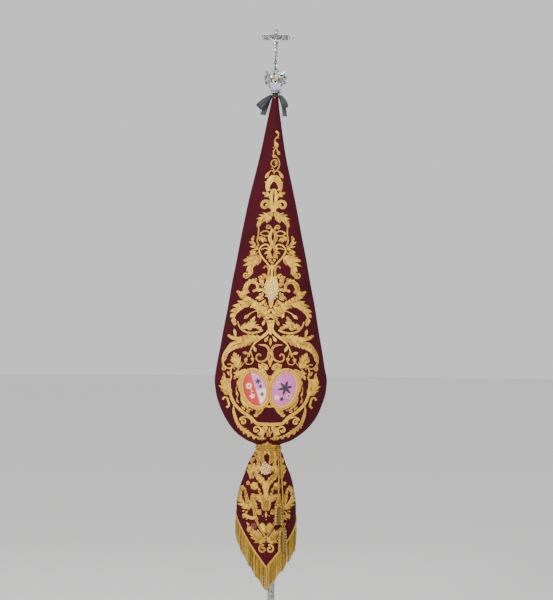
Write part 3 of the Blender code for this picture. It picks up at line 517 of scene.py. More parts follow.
def thick_sheet(name, face, material, thickness):
    """A closed sheet from the rows of points of its middle surface."""
    rows, columns = face.shape[:2]
    down = np.gradient(face, axis=0)
    over = np.gradient(face, axis=1)
    normal = np.cross(over, down)
    normal /= np.maximum(np.linalg.norm(normal, axis=2), 1e-9)[:, :, None]
    layers = np.stack([face - normal * thickness / 2, face + normal * thickness / 2])
    index = np.arange(2 * rows * columns).reshape(2, rows, columns)
    front, back = index
    quads = [np.stack([front[:-1, :-1], front[:-1, 1:], front[1:, 1:], front[1:, :-1]], -1).reshape(-1, 4),
             np.stack([back[:-1, :-1], back[1:, :-1], back[1:, 1:], back[:-1, 1:]], -1).reshape(-1, 4)]
    for a, b in ((front[0], back[0]), (back[-1], front[-1]), (back[:, 0], front[:, 0]),
                 (front[:, -1], back[:, -1])):
        quads.append(np.stack([a[:-1], b[:-1], b[1:], a[1:]], -1))
    mesh = bpy.data.meshes.new(name)
    mesh.from_pydata(layers.reshape(-1, 3).tolist(), [], np.concatenate(quads).tolist())
    u = np.concatenate([np.zeros((rows, 1)), np.cumsum(np.linalg.norm(np.diff(face, axis=1), axis=2), 1)], 1)
    v = face[:, :, 2]
    place = np.tile(np.stack([u, v], -1).reshape(-1, 2), (2, 1))
    corners = np.zeros(len(mesh.loops), dtype=int)
    mesh.loops.foreach_get("vertex_index", corners)
    mesh.uv_layers.new(name="cloth").data.foreach_set("uv", place[corners].reshape(-1))
    turn_outward(mesh)
    mesh.shade_smooth()
    return put(name, mesh, material)


def velvet_material():
    """Silk velvet, cut pile: near black down the pile, and a pale bloom where it is seen edge on."""
    material, tree, shader = new_material("burgundy_silk_velvet", {
        "Roughness": 0.85, "Specular IOR Level": 0.15, "Sheen Weight": 0.45, "Sheen Roughness": 0.12,
        "Sheen Tint": linear("#d98fa6"),
    })
    spot = add(tree, "TexCoord")
    nap = add(tree, "TexNoise", {"Scale": 9.0, "Detail": 4.0, "Roughness": 0.6},
              {"Vector": spot.outputs["Object"]})
    pile = add(tree, "TexNoise", {"Scale": 900.0, "Detail": 2.0}, {"Vector": spot.outputs["Object"]})
    both = weighted_sum(tree, pile.outputs["Fac"], 0.35, nap.outputs["Fac"])
    ramp = add(tree, "ValToRGB", links={0: both.outputs[0]})
    stops = ramp.color_ramp.elements
    stops[0].position, stops[0].color = 0.40, linear("#30020a")
    stops[1].position, stops[1].color = 1.00, linear("#470516")
    finish_surface(tree, shader, ramp.outputs[0], pile.outputs["Fac"], 0.35, 0.0008)
    return material


VELVET = velvet_material()

near_neck = TIE_HEIGHT + NECK_REACH
row_heights = np.concatenate([
    np.linspace(CLOTH_TOP, near_neck, DROP_STEPS, endpoint=False),
    np.linspace(near_neck, TIE_HEIGHT, NECK_STEPS, endpoint=False),
])
shares = np.linspace(-1, 1, CLOTH_COLUMNS + 1)
cloth_rows = []
for height in row_heights:
    angles = shares * (math.pi + lap_angle(height))
    cloth_rows.append(cloth_point(angles, np.full(len(shares), height)))
tail_angles = shares * (math.pi + lap_angle(TIE_HEIGHT))
for share in np.linspace(0, 1, TAIL_STEPS) ** 1.35:
    heights = TIE_HEIGHT + (hem_height(tail_angles) - TIE_HEIGHT) * share
    cloth_rows.append(cloth_point(tail_angles, heights))
cloth_face = np.array(cloth_rows)
flag = thick_sheet("velvet_flag", cloth_face, VELVET, CLOTH_THICKNESS)
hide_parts("banner_cloth")


# Embroidery: raised goldwork. Each form is padded with felt, covered with gilt thread laid across
# it in satin stitch, and edged with a fine twisted cord, then sewn down on the velvet.
# Tables give millimetres: across from the line it is drawn about, then height from the foot.
RIM_WIDTH = 1.5
RIM_HEIGHT = 1.5
GROOVE_HEIGHT = 0.7
DOME_RISE = 0.24              # of the padding, for each millimetre of a form's half width
DOME_LIMIT = 3.0
ROOT_DEPTH = -0.6
SEWN_STEP = 3.0
LEAST_ROWS = 5
CURL_DEGREES = 28             # turned from one row of a scroll to the next
STUD_SIDES = 12
PETAL_PHASE = 0.3
PETAL_ROWS = ((0.15, 0.16), (0.5, 0.36), (0.8, 0.38), (1.0, 0.14))   # shares of the reach: way, half width
SECTION = (                   # share of the way: rim shares from the edge, then dome shares
    (0.0, 0.0), (0.25, 0.0), (0.60, 0.0), (1.0, 0.0), (1.0, 0.5), (1.0, 1.0),
)
AXIS_STOPS = (                # height, and how far left of the pole the design is drawn about
    (540, 19), (860, 24), (1030, 20), (1080, 12), (1250, 13), (1370, 11), (1570, 10),
    (1930, 4), (2278, 0), (2420, 0),
)
axis_heights = [height for height, _ in AXIS_STOPS]
axis_places = [-left for _, left in AXIS_STOPS]

GOLD_LIGHT = thread_material(
    "gilt_satin_stitch", ("#4c2c04", "#d08f05", "#ffdc48"), "#efbd50", 0.38, 0.36, 0.0022, 0.0006
)


def sewn(across, height, lift):
    """Points on the flag's face, in metres, at a place in the drawing, raised above the pile."""
    x = (np.interp(height, axis_heights, axis_places) + across) * MM
    z = height * MM
    left, right = LEFT.at(z), RIGHT.at(z)
    share = np.clip((x - (right - left) / 2) / ((left + right) / 2), -0.985, 0.985)
    return cloth_point(np.arcsin(share), z, CLOTH_THICKNESS / 2 + lift * MM)


def smooth_rows(rows, step):
    """A table's rows, smoothed through each other and spaced evenly along their first two columns."""
    fine = curve_through(rows, 8)
    walked = walk(fine[:, :2])
    wanted = np.linspace(0, walked[-1], max(int(round(walked[-1] / step)) + 1, LEAST_ROWS))
    return np.stack([np.interp(wanted, walked, column) for column in fine.T], axis=1), wanted


class Sewing:
    """Draws padded forms on the flag, the same on each side of the design's middle line."""

    def __init__(self, seed):
        self.bundle = Bundle()
        self.draw = random.Random(seed)

    def form(self, rows, sides=(-1, 1), raised=1.0):
        """One padded form along rows of across, height and half width."""
        line, walked = smooth_rows(rows, SEWN_STEP)
        width = np.maximum(line[:, 2], 0.35)
        ahead = np.gradient(line[:, :2], axis=0)
        ahead /= np.maximum(np.linalg.norm(ahead, axis=1), 1e-9)[:, None]
        rim = np.minimum(RIM_WIDTH, width * 0.45)
        full = np.minimum(1, width / 2.2) * raised
        dome = np.minimum(DOME_RISE * width, DOME_LIMIT)
        offsets, lifts = [], []
        for rim_share, dome_share in SECTION:
            offsets.append(-width + rim * rim_share + (width - rim) * dome_share)
            crown = GROOVE_HEIGHT + dome * (1 - (1 - dome_share) ** 2) if rim_share == 1.0 else 0
            edge = {0.0: ROOT_DEPTH, 0.25: RIM_HEIGHT * 0.75, 0.60: RIM_HEIGHT}.get(rim_share, 0)
            lifts.append((crown + edge) * (full if rim_share else 1.0))
        offsets = offsets + [-offset for offset in offsets[-2::-1]]
        lifts = lifts + lifts[-2::-1]
        # Rim shares: the raised edges slant their thread lines like a twisted cord and take the pale edge
        # colour, a painted highlight.
        rims = [1, 1, 1, 0.4, 0, 0, 0, 0.4, 1, 1, 1]
        offsets = np.array(np.broadcast_arrays(*offsets)).T
        lifts = np.array(np.broadcast_arrays(*lifts, np.zeros(len(line)))[:-1]).T
        across = line[:, :1] - ahead[:, 1:] * offsets
        height = line[:, 1:2] + ahead[:, :1] * offsets
        for side in sides:
            grid = sewn(side * across, height, lifts)
            self.bundle.tube(grid, walked * MM, offsets.mean(axis=0) * MM, np.array(rims, dtype=float),
                             self.draw.random())

    def drop(self, u0, z0, u1, z1, width, sides=(-1, 1)):
        """A teardrop, fullest past its middle."""
        du, dz = u1 - u0, z1 - z0
        self.form(((u0, z0, 0.9), (u0 + du * 0.35, z0 + dz * 0.35, width * 0.62),
                   (u0 + du * 0.68, z0 + dz * 0.68, width), (u1, z1, 0.8)), sides)

    def leaf(self, spine, reach, lobes, lobed=(-1, 1), sides=(-1, 1)):
        """A leaf of pointed lobes, set along one or both sides of a bent spine."""
        line, walked = smooth_rows(spine, 1.0)
        ahead = np.gradient(line, axis=0)
        ahead /= np.linalg.norm(ahead, axis=1)[:, None]
        gap = walked[-1] / lobes
        wide = min(max(gap * 0.52, 2.2), reach * 0.38)
        for i in range(lobes):
            share = (i + 0.35) / lobes
            at = int(share * (len(line) - 1))
            long = reach * (0.55 + 0.55 * math.sin(math.pi * min(share * 1.15 + 0.1, 1.0)))
            open_angle = math.radians(62 - 34 * share)
            for hand in lobed:
                turn = hand * open_angle
                way = np.array((ahead[at, 0] * math.cos(turn) - ahead[at, 1] * math.sin(turn),
                                ahead[at, 0] * math.sin(turn) + ahead[at, 1] * math.cos(turn)))
                mid = line[at] + way * long * 0.5
                tip = line[at] + way * long * 1.16 + ahead[at] * long * 0.20
                self.form(((*(line[at] - way * 1.5), wide * 0.8), (*mid, wide * 0.88), (*tip, 0.3)), sides)
        vein = [(u, z, max(reach * 0.15, 1.7) * (1 - 0.6 * i / (len(spine) - 1)))
                for i, (u, z) in enumerate(spine)]
        self.form(vein, sides, raised=1.45)
        tip = line[-1] + ahead[-1] * reach * 0.55
        self.form(((*line[-1], wide * 0.8), (*((line[-1] + tip) / 2), wide * 0.8), (*tip, 0.5)), sides)

    def curl(self, u, z, radius, start, turn, width, thin, closing=0.30):
        """A scroll that winds in towards its eye, from an angle in degrees."""
        rows = []
        count = max(int(abs(turn) / CURL_DEGREES), 4)
        for i in range(count + 1):
            share = i / count
            angle = math.radians(start + turn * share)
            r = radius * (1 - (1 - closing) * share)
            rows.append((u + r * math.cos(angle), z + r * math.sin(angle), width + (thin - width) * share))
        self.form(rows)
        self.pearl(rows[-1][0], rows[-1][1], thin * 1.5)

    def pearl(self, u, z, radius, sides=(-1, 1), high=0.75):
        """A domed stud of coiled thread."""
        turns = np.linspace(0, 2 * math.pi, STUD_SIDES, endpoint=False)
        rings = ((1.0, ROOT_DEPTH / radius), (1.0, 0.25), (0.86, 0.62), (0.55, 0.9), (0.02, 1.0))
        for side in sides:
            grid = [sewn(side * (u + radius * share * np.cos(turns)), z + radius * share * np.sin(turns),
                         np.full(STUD_SIDES, radius * lift * high)) for share, lift in rings]
            # Rim 0.5: each stud is mixed half way to the pale edge colour, a painted highlight.
            self.bundle.tube(np.array(grid), np.arange(len(rings)) * radius * 0.4 * MM,
                             turns * radius * MM, 0.5, self.draw.random())

    def flower(self, u, z, radius, petals, sides=(-1, 1)):
        """Rounded petals about a stud."""
        for i in range(petals):
            turn = PETAL_PHASE + 2 * math.pi * i / petals
            way = (math.cos(turn), math.sin(turn))
            rows = [(u + way[0] * radius * s, z + way[1] * radius * s, radius * w) for s, w in PETAL_ROWS]
            self.form(rows, sides)
        self.pearl(u, z, radius * 0.3, sides, 1.4)


# Drop, upper half: a slender climbing stem, a palmette, scrolls and sprays down to the posy.
upper = Sewing(11)
for rows in (
    ((2, 2111, 2.0), (8, 2116, 2.0), (15, 2115, 2.0), (22, 2106, 2.4)),
    ((2, 2094, 8), (11, 2083, 12), (21, 2067, 11), (25, 2050, 8.5), (23, 2034, 6)),
    ((28, 2064, 3), (32, 2069, 2), (37, 2073, 0.8)),
    ((24, 2044, 2), (14, 2040, 2.6), (8, 2034, 3)),
    ((0, 2042, 5), (7, 2030, 6), (10, 2012, 7), (8, 1994, 6), (6, 1974, 6), (4, 1950, 5)),
    ((60, 1912, 3), (57, 1890, 2.6), (57, 1862, 2.6), (61, 1838, 2.6), (54, 1816, 2.6)),
    ((8, 1864, 2.6), (20, 1873, 2.6), (34, 1875, 2.6), (50, 1866, 2.4), (36, 1857, 2.4),
     (20, 1857, 2.4), (8, 1864, 2.4)),
    ((1, 1884, 4), (9, 1866, 6), (12, 1846, 7), (5, 1828, 6), (5, 1812, 5), (13, 1796, 5),
     (7, 1778, 4), (1, 1766, 2)),
    ((10, 1812, 3), (24, 1822, 3), (42, 1816, 3), (52, 1800, 3), (48, 1784, 3.4), (36, 1766, 3.4),
     (20, 1748, 3.4), (3, 1726, 3.4)),
    ((14, 1800, 2.2), (28, 1807, 2.2), (46, 1801, 2.0)),
    ((52, 1796, 2), (64, 1786, 2), (74, 1786, 2)),
    ((2, 1740, 3), (8, 1730, 3), (13, 1712, 3.6), (13, 1692, 4)),
    ((12, 1718, 2.4), (19, 1733, 2.6), (28, 1735, 2.4), (33, 1727, 2.8)),
    ((92, 1590, 2), (116, 1591, 3.6), (134, 1581, 3.4), (138, 1567, 1.6)),
    ((48, 1560, 1.8), (66, 1556, 1.8), (84, 1546, 1.8)),
    ((132, 1516, 2.5), (122, 1493, 3), (104, 1477, 3.6), (80, 1471, 4), (56, 1473, 4), (30, 1482, 3)),
):
    upper.form(rows)
for row in (
    (((6, 2014), (24, 2020), (38, 2026)), 13, 3),
    (((8, 1934), (26, 1933), (44, 1924), (58, 1900)), 19, 6),
    (((7, 1950), (16, 1934), (24, 1914)), 14, 4),
    (((54, 1850), (42, 1843), (28, 1838)), 12, 3),
    (((57, 1802), (74, 1816), (82, 1834), (77, 1850)), 13, 4),
    (((8, 1812), (18, 1792), (14, 1770), (4, 1752)), 12, 4, (1, -1)),
    (((44, 1766), (70, 1758), (86, 1740), (85, 1712)), 28, 6),
    (((58, 1762), (84, 1764), (106, 1759)), 15, 4),
    (((8, 1688), (28, 1694), (48, 1692)), 12, 3),
    (((8, 1690), (22, 1698), (34, 1702)), 9, 2),
    (((113, 1624), (106, 1656), (88, 1678), (66, 1682)), 19, 6, (1,)),
    (((96, 1598), (112, 1618), (130, 1632)), 15, 4),
    (((8, 1528), (36, 1558), (66, 1588), (92, 1608)), 19, 7),
    (((4, 1530), (16, 1560), (24, 1592)), 15, 4),
    (((60, 1582), (98, 1588), (132, 1570), (150, 1540), (144, 1510)), 21, 7),
    (((118, 1488), (92, 1490), (66, 1494), (46, 1488)), 26, 6, (-1,)),
    (((86, 1482), (78, 1506), (66, 1530)), 14, 4),
):
    upper.leaf(*row)
for row in (
    (33, 1978, 21, 215, -400, 6.2, 4.2, 0.34), (19, 1889, 11, 215, -380, 2.8, 2.4),
    (102, 1700, 13, 180, 400, 3.2, 2.6), (73, 1650, 32, -48, 300, 9.5, 4, 0.42),
):
    upper.curl(*row)
for row in (
    (17, 2115, 35, 2086, 6.5), (34, 1640, 60, 1640, 6), (30, 1620, 62, 1606, 6), (22, 1604, 46, 1578, 6),
    (28, 1662, 50, 1684, 6), (80, 1548, 106, 1527, 6.5), (52, 1552, 43, 1530, 7), (22, 1526, 33, 1500, 6),
):
    upper.drop(*row)
upper.flower(78, 1790, 12, 5)
for rows in (
    ((-18, 1517, 3.6), (0, 1518, 4.4), (18, 1517, 3.6)),
    ((0, 1512, 15), (0, 1496, 12), (0, 1480, 9), (0, 1464, 4)),
    ((0, 1742, 5), (0, 1716, 4.5), (0, 1694, 5)),
    ((0, 2043, 3), (0, 2034, 8), (0, 2022, 8)),
    ((0, 2098, 3), (0, 2088, 10), (0, 2072, 3)),
    ((0, 1614, 12), (0, 1590, 9), (0, 1570, 4)),
    ((4, 2277, 1.4), (12, 2270, 1.9), (12, 2257, 1.9), (3, 2246, 1.7), (-2, 2233, 1.7)),
    ((10, 2208, 1.6), (4, 2206, 1.8), (-4, 2194, 2.2), (-4, 2180, 2.4)),
    ((-8, 2208, 1.4), (-1, 2211, 1.7), (8, 2203, 1.9), (13, 2192, 2.0)),
    ((10, 2170, 1.8), (18, 2156, 2.2), (20, 2142, 2.2), (15, 2126, 2.3), (4, 2112, 2.4)),
    ((14, 2150, 1.8), (4, 2160, 2.2), (-7, 2157, 2.2), (-13, 2146, 2.2), (-8, 2134, 2.2),
     (2, 2132, 2.4), (9, 2139, 2.4), (7, 2148, 2.2)),
    ((-13, 2124, 1.4), (-7, 2126, 1.8), (0, 2117, 2.2), (0, 2102, 2.2)),
):
    upper.form(rows, (1,))
for row in (
    (11, 2264, 3, 2276, 4.2), (2, 2247, 15, 2251, 4.4), (-3, 2238, 11, 2209, 8.0), (8, 2201, 19, 2178, 6.0),
    (12, 2168, -10, 2178, 6.5), (2, 2156, 9, 2140, 5.0),
):
    upper.drop(*row, (1,))
upper.pearl(0, 1562, 5, (1,), 1.2)

posy = Sewing(17)
PEARL_GOLD = thread_material(
    "gilt_coiled_pearls", ("#7a5f2c", "#ecd69c", "#fff7e0"), "#f3dcae", 0.26, 0.55, 0.0012, 0.0004
)
GOLDEN_TURN = math.radians(137.5)     # seeds of a flower head follow each other at this turn


def scatter_studs(sewing, draw, centre, reach, count, spread, high):
    """Studs of uneven size set close over an oval, as seeds lie in a flower head."""
    for i in range(count):
        share = math.sqrt((i + 0.5) / count)
        turn = i * GOLDEN_TURN
        u = centre[0] + reach[0] * share * math.cos(turn)
        z = centre[1] + reach[1] * share * math.sin(turn)
        sewing.pearl(u, z, 3.0 + spread * draw.random(), (1,), high)


upper.form(((0, 1694, 14), (0, 1664, 27), (0, 1634, 26), (0, 1604, 10)), (1,), raised=0.35)
for i in range(5):
    upper.leaf(((30, 1676 - 17 * i), (38, 1680 - 18 * i), (46, 1686 - 21 * i)), 8, 2)
scatter_studs(posy, posy.draw, (0, 1641), (30, 44), 40, 1.8, 1.25)
upper_piece = upper.bundle.piece("goldwork_upper", GOLD_LIGHT)
posy_piece = posy.bundle.piece("posy_pearls", PEARL_GOLD)


# Drop, lower half: wings of leaves, a lily between scrolls, and the leafy border round the fields.
lower = Sewing(23)
for rows in (
    ((4, 1490, 5), (14, 1472, 6), (30, 1458, 6), (48, 1444, 5), (66, 1426, 3), (78, 1402, 2.2),
     (84, 1376, 1.8)),
    ((100, 1440, 4), (142, 1428, 4.4), (170, 1406, 4.4), (185, 1380, 4), (187, 1352, 3.4), (176, 1334, 3),
     (158, 1330, 2.8), (146, 1340, 2.6)),
    ((128, 1434, 2.2), (152, 1429, 4), (172, 1411, 1.6)),
    ((4, 1398, 5), (9, 1412, 5), (22, 1422, 4.5), (48, 1425, 1.2)),
    ((5, 1394, 6), (10, 1374, 4.4), (24, 1361, 3.4), (42, 1358, 3.2), (54, 1368, 3.0), (53, 1382, 3),
     (43, 1388, 2.8), (37, 1379, 2.6)),
    ((2, 1404, 4), (7, 1380, 5), (4, 1358, 4), (0.5, 1338, 1.6)),
    ((80, 1400, 1.6), (88, 1382, 1.6), (94, 1368, 1.6)),
    ((78, 1400, 1.6), (73, 1386, 1.6), (70, 1374, 1.6)),
    ((66, 1362, 1.6), (74, 1349, 1.6), (90, 1347, 1.6), (98, 1358, 1.6)),
    ((100, 1356, 1.6), (112, 1341, 1.6), (124, 1328, 2.2), (136, 1314, 2.6)),
    ((150, 1336, 2.4), (156, 1316, 2.8), (152, 1296, 3), (158, 1278, 3.4)),
    ((158, 1276, 4.2), (157, 1246, 5.4), (151, 1216, 6), (136, 1187, 6), (106, 1158, 6), (76, 1139, 6),
     (62, 1124, 6), (50, 1113, 6.4), (26, 1110, 6.6), (0, 1109, 6.8)),
    ((184, 1204, 4.2), (180, 1213, 3.6), (168, 1212, 3.6), (163, 1198, 4), (160, 1182, 4),
     (170, 1173, 4.4)),
    ((141, 1182, 1.6), (141, 1160, 5), (135, 1136, 6.5), (126, 1112, 6), (108, 1091, 5), (84, 1076, 4)),
    ((70, 1112, 3), (72, 1126, 2.8), (86, 1136, 2.8), (104, 1138, 2.8), (119, 1128, 2.8)),
    ((128, 1262, 1.4), (132, 1246, 1.4), (124, 1226, 1.4), (129, 1208, 1.4), (120, 1192, 1.4)),
    ((10, 1338, 3.4), (18, 1346, 3.4), (30, 1348, 4), (40, 1342, 3)),
    ((6, 1290, 8), (18, 1303, 9), (28, 1320, 9), (38, 1336, 7), (46, 1350, 1.6)),
    ((94, 1324, 6), (110, 1317, 8), (124, 1306, 6), (128, 1292, 2)),
    ((112, 1304, 6), (119, 1284, 5), (121, 1262, 4), (120, 1240, 2)),
    ((112, 1222, 2), (108, 1204, 5), (98, 1188, 6), (84, 1177, 3)),
    ((168, 1344, 2.6), (158, 1346, 2.6), (146, 1338, 2.6), (140, 1326, 2.6)),
    ((24, 1188, 6), (32, 1174, 10), (43, 1160, 11), (52, 1147, 5)),
    ((46, 1146, 4), (56, 1142, 3.6), (60, 1150, 3)),
    ((18, 1094, 3), (12, 1082, 3), (6, 1074, 3), (4, 1060, 3)),
):
    lower.form(rows)
for row in (
    (((42, 1450), (84, 1449), (120, 1444), (154, 1452)), 18, 8),
    (((76, 1436), (110, 1428), (146, 1416), (170, 1394), (182, 1364)), 16, 10, (-1,)),
    (((124, 1334), (132, 1358), (140, 1382)), 22, 4),
    (((150, 1232), (166, 1242), (180, 1262), (182, 1290)), 21, 5),
    (((160, 1288), (170, 1270), (178, 1250), (174, 1232)), 17, 4),
    (((116, 1314), (132, 1308), (138, 1292)), 12, 3),
    (((112, 1206), (102, 1184), (84, 1170), (70, 1166)), 9, 5, (-1,)),
    (((128, 1116), (116, 1096), (94, 1082), (70, 1066), (44, 1056)), 11, 9),
    (((10, 1102), (22, 1090), (28, 1072), (24, 1056)), 14, 5),
    (((42, 1054), (28, 1052), (12, 1052)), 9, 3),
    (((6, 1336), (20, 1334), (34, 1342)), 8, 3, (1,)),
):
    lower.leaf(*row)
for row in (
    (184, 1328, 10, 60, 330, 3.0, 2.4), (146, 1360, 11, 200, -330, 3.6, 2.6),
    (13, 1333, 8, 60, -330, 3.4, 2.6), (104, 1118, 14, 20, 380, 3.2, 2.6),
    (50, 1086, 19, 250, -400, 4, 2.8), (84, 1160, 7, 0, 330, 2.6, 2.2),
):
    lower.curl(*row)
for row in (
    (136, 1450, 144, 1486, 6), (150, 1450, 171, 1462, 6), (8, 1460, 23, 1436, 6.5),
    (70, 1424, 56, 1396, 6.5), (82, 1388, 110, 1394, 6), (128, 1282, 124, 1262, 5),
    (131, 1240, 126, 1222, 4.4), (130, 1212, 125, 1194, 4.4), (112, 1180, 96, 1166, 4.4),
    (66, 1066, 52, 1048, 4.4), (84, 1072, 76, 1054, 4.4), (104, 1086, 98, 1066, 4.4),
    (160, 1300, 168, 1318, 4), (176, 1296, 184, 1312, 3.6),
):
    lower.drop(*row)
for u, z, radius in ((96, 1364, 8), (70, 1368, 7.5), (106, 1118, 6), (52, 1086, 5)):
    lower.flower(u, z, radius, 5)
for rows in (
    ((0, 1452, 1.2), (0, 1438, 6), (0, 1420, 1.2)),
    ((0, 1303, 10), (0, 1292, 12), (0, 1278, 6), (0, 1266, 2)),
    ((-24, 1184, 4), (0, 1181, 4.4), (24, 1184, 4)),
    ((0, 1098, 1), (0, 1086, 3.4), (0, 1074, 1)),
):
    lower.form(rows, (1,))
lower_piece = lower.bundle.piece("goldwork_lower", GOLD_LIGHT)


# Tail: the same work, closer and in a deeper gold, with a peak over the tie, an urn of flowers, a
# heart in a band, and a braid that covers the fringe's head.
GOLD_DEEP = thread_material(
    "gilt_satin_stitch_deep", ("#3a2403", "#b88006", "#f2cc40"), "#dfae4c", 0.36, 0.44, 0.0022, 0.0006
)
tail = Sewing(31)
for rows in (
    ((4, 1004, 7), (22, 1004, 8), (44, 1006, 7), (56, 1008, 3)),
    ((4, 1020, 6), (20, 1019, 6), (40, 1019, 5), (54, 1018, 2.4)),
    ((2, 1008, 3), (14, 998, 8), (22, 982, 11), (18, 964, 9), (10, 950, 3)),
    ((30, 1000, 2.6), (42, 1003, 3), (50, 996, 3.2), (48, 984, 3.4), (40, 976, 4), (34, 962, 4),
     (30, 948, 3)),
    ((44, 974, 2.6), (56, 968, 3), (61, 956, 3.4), (54, 948, 3)),
    ((2, 866, 3), (12, 884, 6), (28, 900, 8), (44, 914, 3)),
    ((0, 950, 3), (8, 938, 6), (6, 922, 6), (2, 908, 3)),
    ((18, 757, 4), (27, 754, 4.4), (34, 758, 4), (33, 766, 3)),
    ((46, 752, 4), (38, 728, 4.4), (26, 702, 4.4), (12, 678, 4), (1, 660, 2.6)),
    ((36, 742, 5), (56, 736, 7), (76, 744, 6), (90, 748, 4), (90, 732, 1.6)),
    ((56, 826, 5), (50, 800, 8), (42, 776, 8), (44, 752, 6), (32, 730, 3)),
    ((70, 768, 3), (62, 782, 4), (64, 800, 4), (74, 812, 3)),
    ((12, 664, 3), (26, 652, 10), (42, 664, 11), (56, 684, 5), (62, 694, 1.4)),
    ((2, 664, 3), (9, 652, 5), (6, 640, 4)),
):
    tail.form(rows)
for row in (
    (((4, 1002), (18, 992), (24, 976), (14, 960)), 15, 5),
    (((66, 908), (60, 926), (50, 944)), 18, 4),
    (((44, 916), (34, 930), (30, 946)), 15, 4),
    (((4, 868), (22, 890), (42, 908)), 14, 5),
    (((68, 776), (88, 796), (100, 822), (94, 850)), 26, 6, (-1,)),
    (((68, 776), (78, 798), (82, 820), (84, 846)), 17, 4, (1,)),
    (((2, 796), (20, 812), (50, 828)), 15, 5),
    (((2, 800), (12, 820), (26, 840)), 11, 3),
    (((10, 646), (30, 652), (46, 670), (60, 694)), 20, 6),
    (((16, 646), (26, 664), (32, 684)), 14, 4),
    (((54, 812), (46, 784), (44, 758)), 14, 5),
    (((60, 740), (74, 736), (88, 742)), 9, 3),
):
    tail.leaf(*row)
for row in (
    (36, 992, 9, 200, -360, 3.0, 2.4), (58, 962, 9, 180, -360, 3.0, 2.4), (14, 614, 17, 110, -380, 4.2, 3.4),
    (30, 950, 8, 100, -330, 2.8, 2.4), (66, 936, 7, 60, 330, 2.6, 2.2), (24, 766, 7, 40, -330, 2.8, 2.2),
):
    tail.curl(*row)
for row in (
    (62, 888, 66, 914, 5), (72, 706, 69, 678, 5.6), (10, 948, 24, 926, 6), (30, 944, 42, 924, 6),
    (70, 766, 82, 752, 4), (82, 764, 96, 760, 3.4), (56, 792, 52, 812, 4), (78, 718, 66, 706, 5),
    (30, 884, 38, 900, 5), (20, 844, 32, 856, 5),
):
    tail.drop(*row)
for row in ((45, 863, 16, 6), (71, 873, 9, 5), (28, 932, 12, 5), (54, 900, 9, 5), (12, 922, 10, 5)):
    tail.flower(*row)
for rows in (
    ((-10, 1016, 12), (0, 1016, 14), (10, 1016, 12)),
    ((-18, 1026, 4), (0, 1024, 7), (18, 1026, 4)),
    ((0, 1022, 12), (0, 1030, 8), (0, 1040, 1)),
    ((0, 876, 12), (0, 862, 14), (0, 846, 10), (0, 830, 8), (0, 812, 5)),
    ((0, 808, 15), (0, 794, 19), (0, 778, 17), (0, 766, 11)),
    ((-17, 792, 1.6), (0, 788, 2.2), (17, 792, 1.6)),
    ((-14, 780, 1.4), (0, 776, 2.0), (14, 780, 1.4)),
    ((0, 764, 1), (0, 750, 5), (0, 738, 1)),
    ((-11, 716, 6), (-15, 706, 9), (-9, 692, 9), (-1, 680, 2)),
    ((11, 716, 6), (15, 706, 9), (9, 692, 9), (1, 680, 2)),
    ((0, 708, 6), (0, 696, 9), (0, 682, 5), (0, 674, 1)),
):
    tail.form(rows, (1,))
for spot in ((0, 731, 2.4), (-13, 745, 2.4), (13, 745, 2.4), (0, 650, 3), (-38, 1012, 3), (30, 1012, 3)):
    tail.pearl(*spot, (1,), 1.0)
tail_pearls = Sewing(33)
scatter_studs(tail_pearls, tail.draw, (-5, 932), (21, 25), 22, 1.2, 1.2)
tail_piece = tail.bundle.piece("goldwork_tail", GOLD_DEEP)
tail_pearl_piece = tail_pearls.bundle.piece("tail_pearls", PEARL_GOLD)


# Fields: two ovals of fine silk embroidery over card, each edged with a padded gold frame. Their
# drawing is plain: small flowers on red, rose and cream silk at the left, and at the right a dark
# six-petalled flower among small ones on lilac silk.
MEDALLION_AXIS_X = -0.013
MEDALLION_SPREAD = 0.057
MEDALLION_HEIGHT = 1.250
MEDALLION_LONG = 0.067
MEDALLION_SHORT = 0.0445
MEDALLION_LEAN = math.radians(17)
MEDALLION_CROWN = 0.0032
FRAME_WIDTH = 0.0175
FIELD_EDGE = 0.0015           # thickness of the card at the field's edge
STITCH_PITCH = 0.0018
FACE_GAP = 0.0007
SEAT_GAP = 0.0003
OVAL_STEPS = 96
FIELD_RINGS = 22


def leaning(side, across, along):
    """A place on a leaning field, as x and z. The side is -1 for the left one and 1 for the right."""
    lean = side * MEDALLION_LEAN
    x = MEDALLION_AXIS_X + side * MEDALLION_SPREAD + across * math.cos(lean) + along * math.sin(lean)
    z = MEDALLION_HEIGHT + along * math.cos(lean) - across * math.sin(lean)
    return x, z


def crown_height(share):
    """How high a field swells at a share of the way from its middle to its edge."""
    return FIELD_EDGE + (MEDALLION_CROWN - FIELD_EDGE) * (1 - share ** 2)


def on_face(x, z, lift):
    """Points on the smooth face of the flag, raised towards the viewer."""
    left, right = LEFT.at(z), RIGHT.at(z)
    share = np.clip((x - (right - left) / 2) / ((left + right) / 2), -0.999, 0.999)
    y = -FRONT.at(z) * np.sqrt(1 - share ** 2) - CLOTH_THICKNESS / 2 - FACE_GAP - lift
    return np.stack([x, y, z + 0 * x], axis=-1)


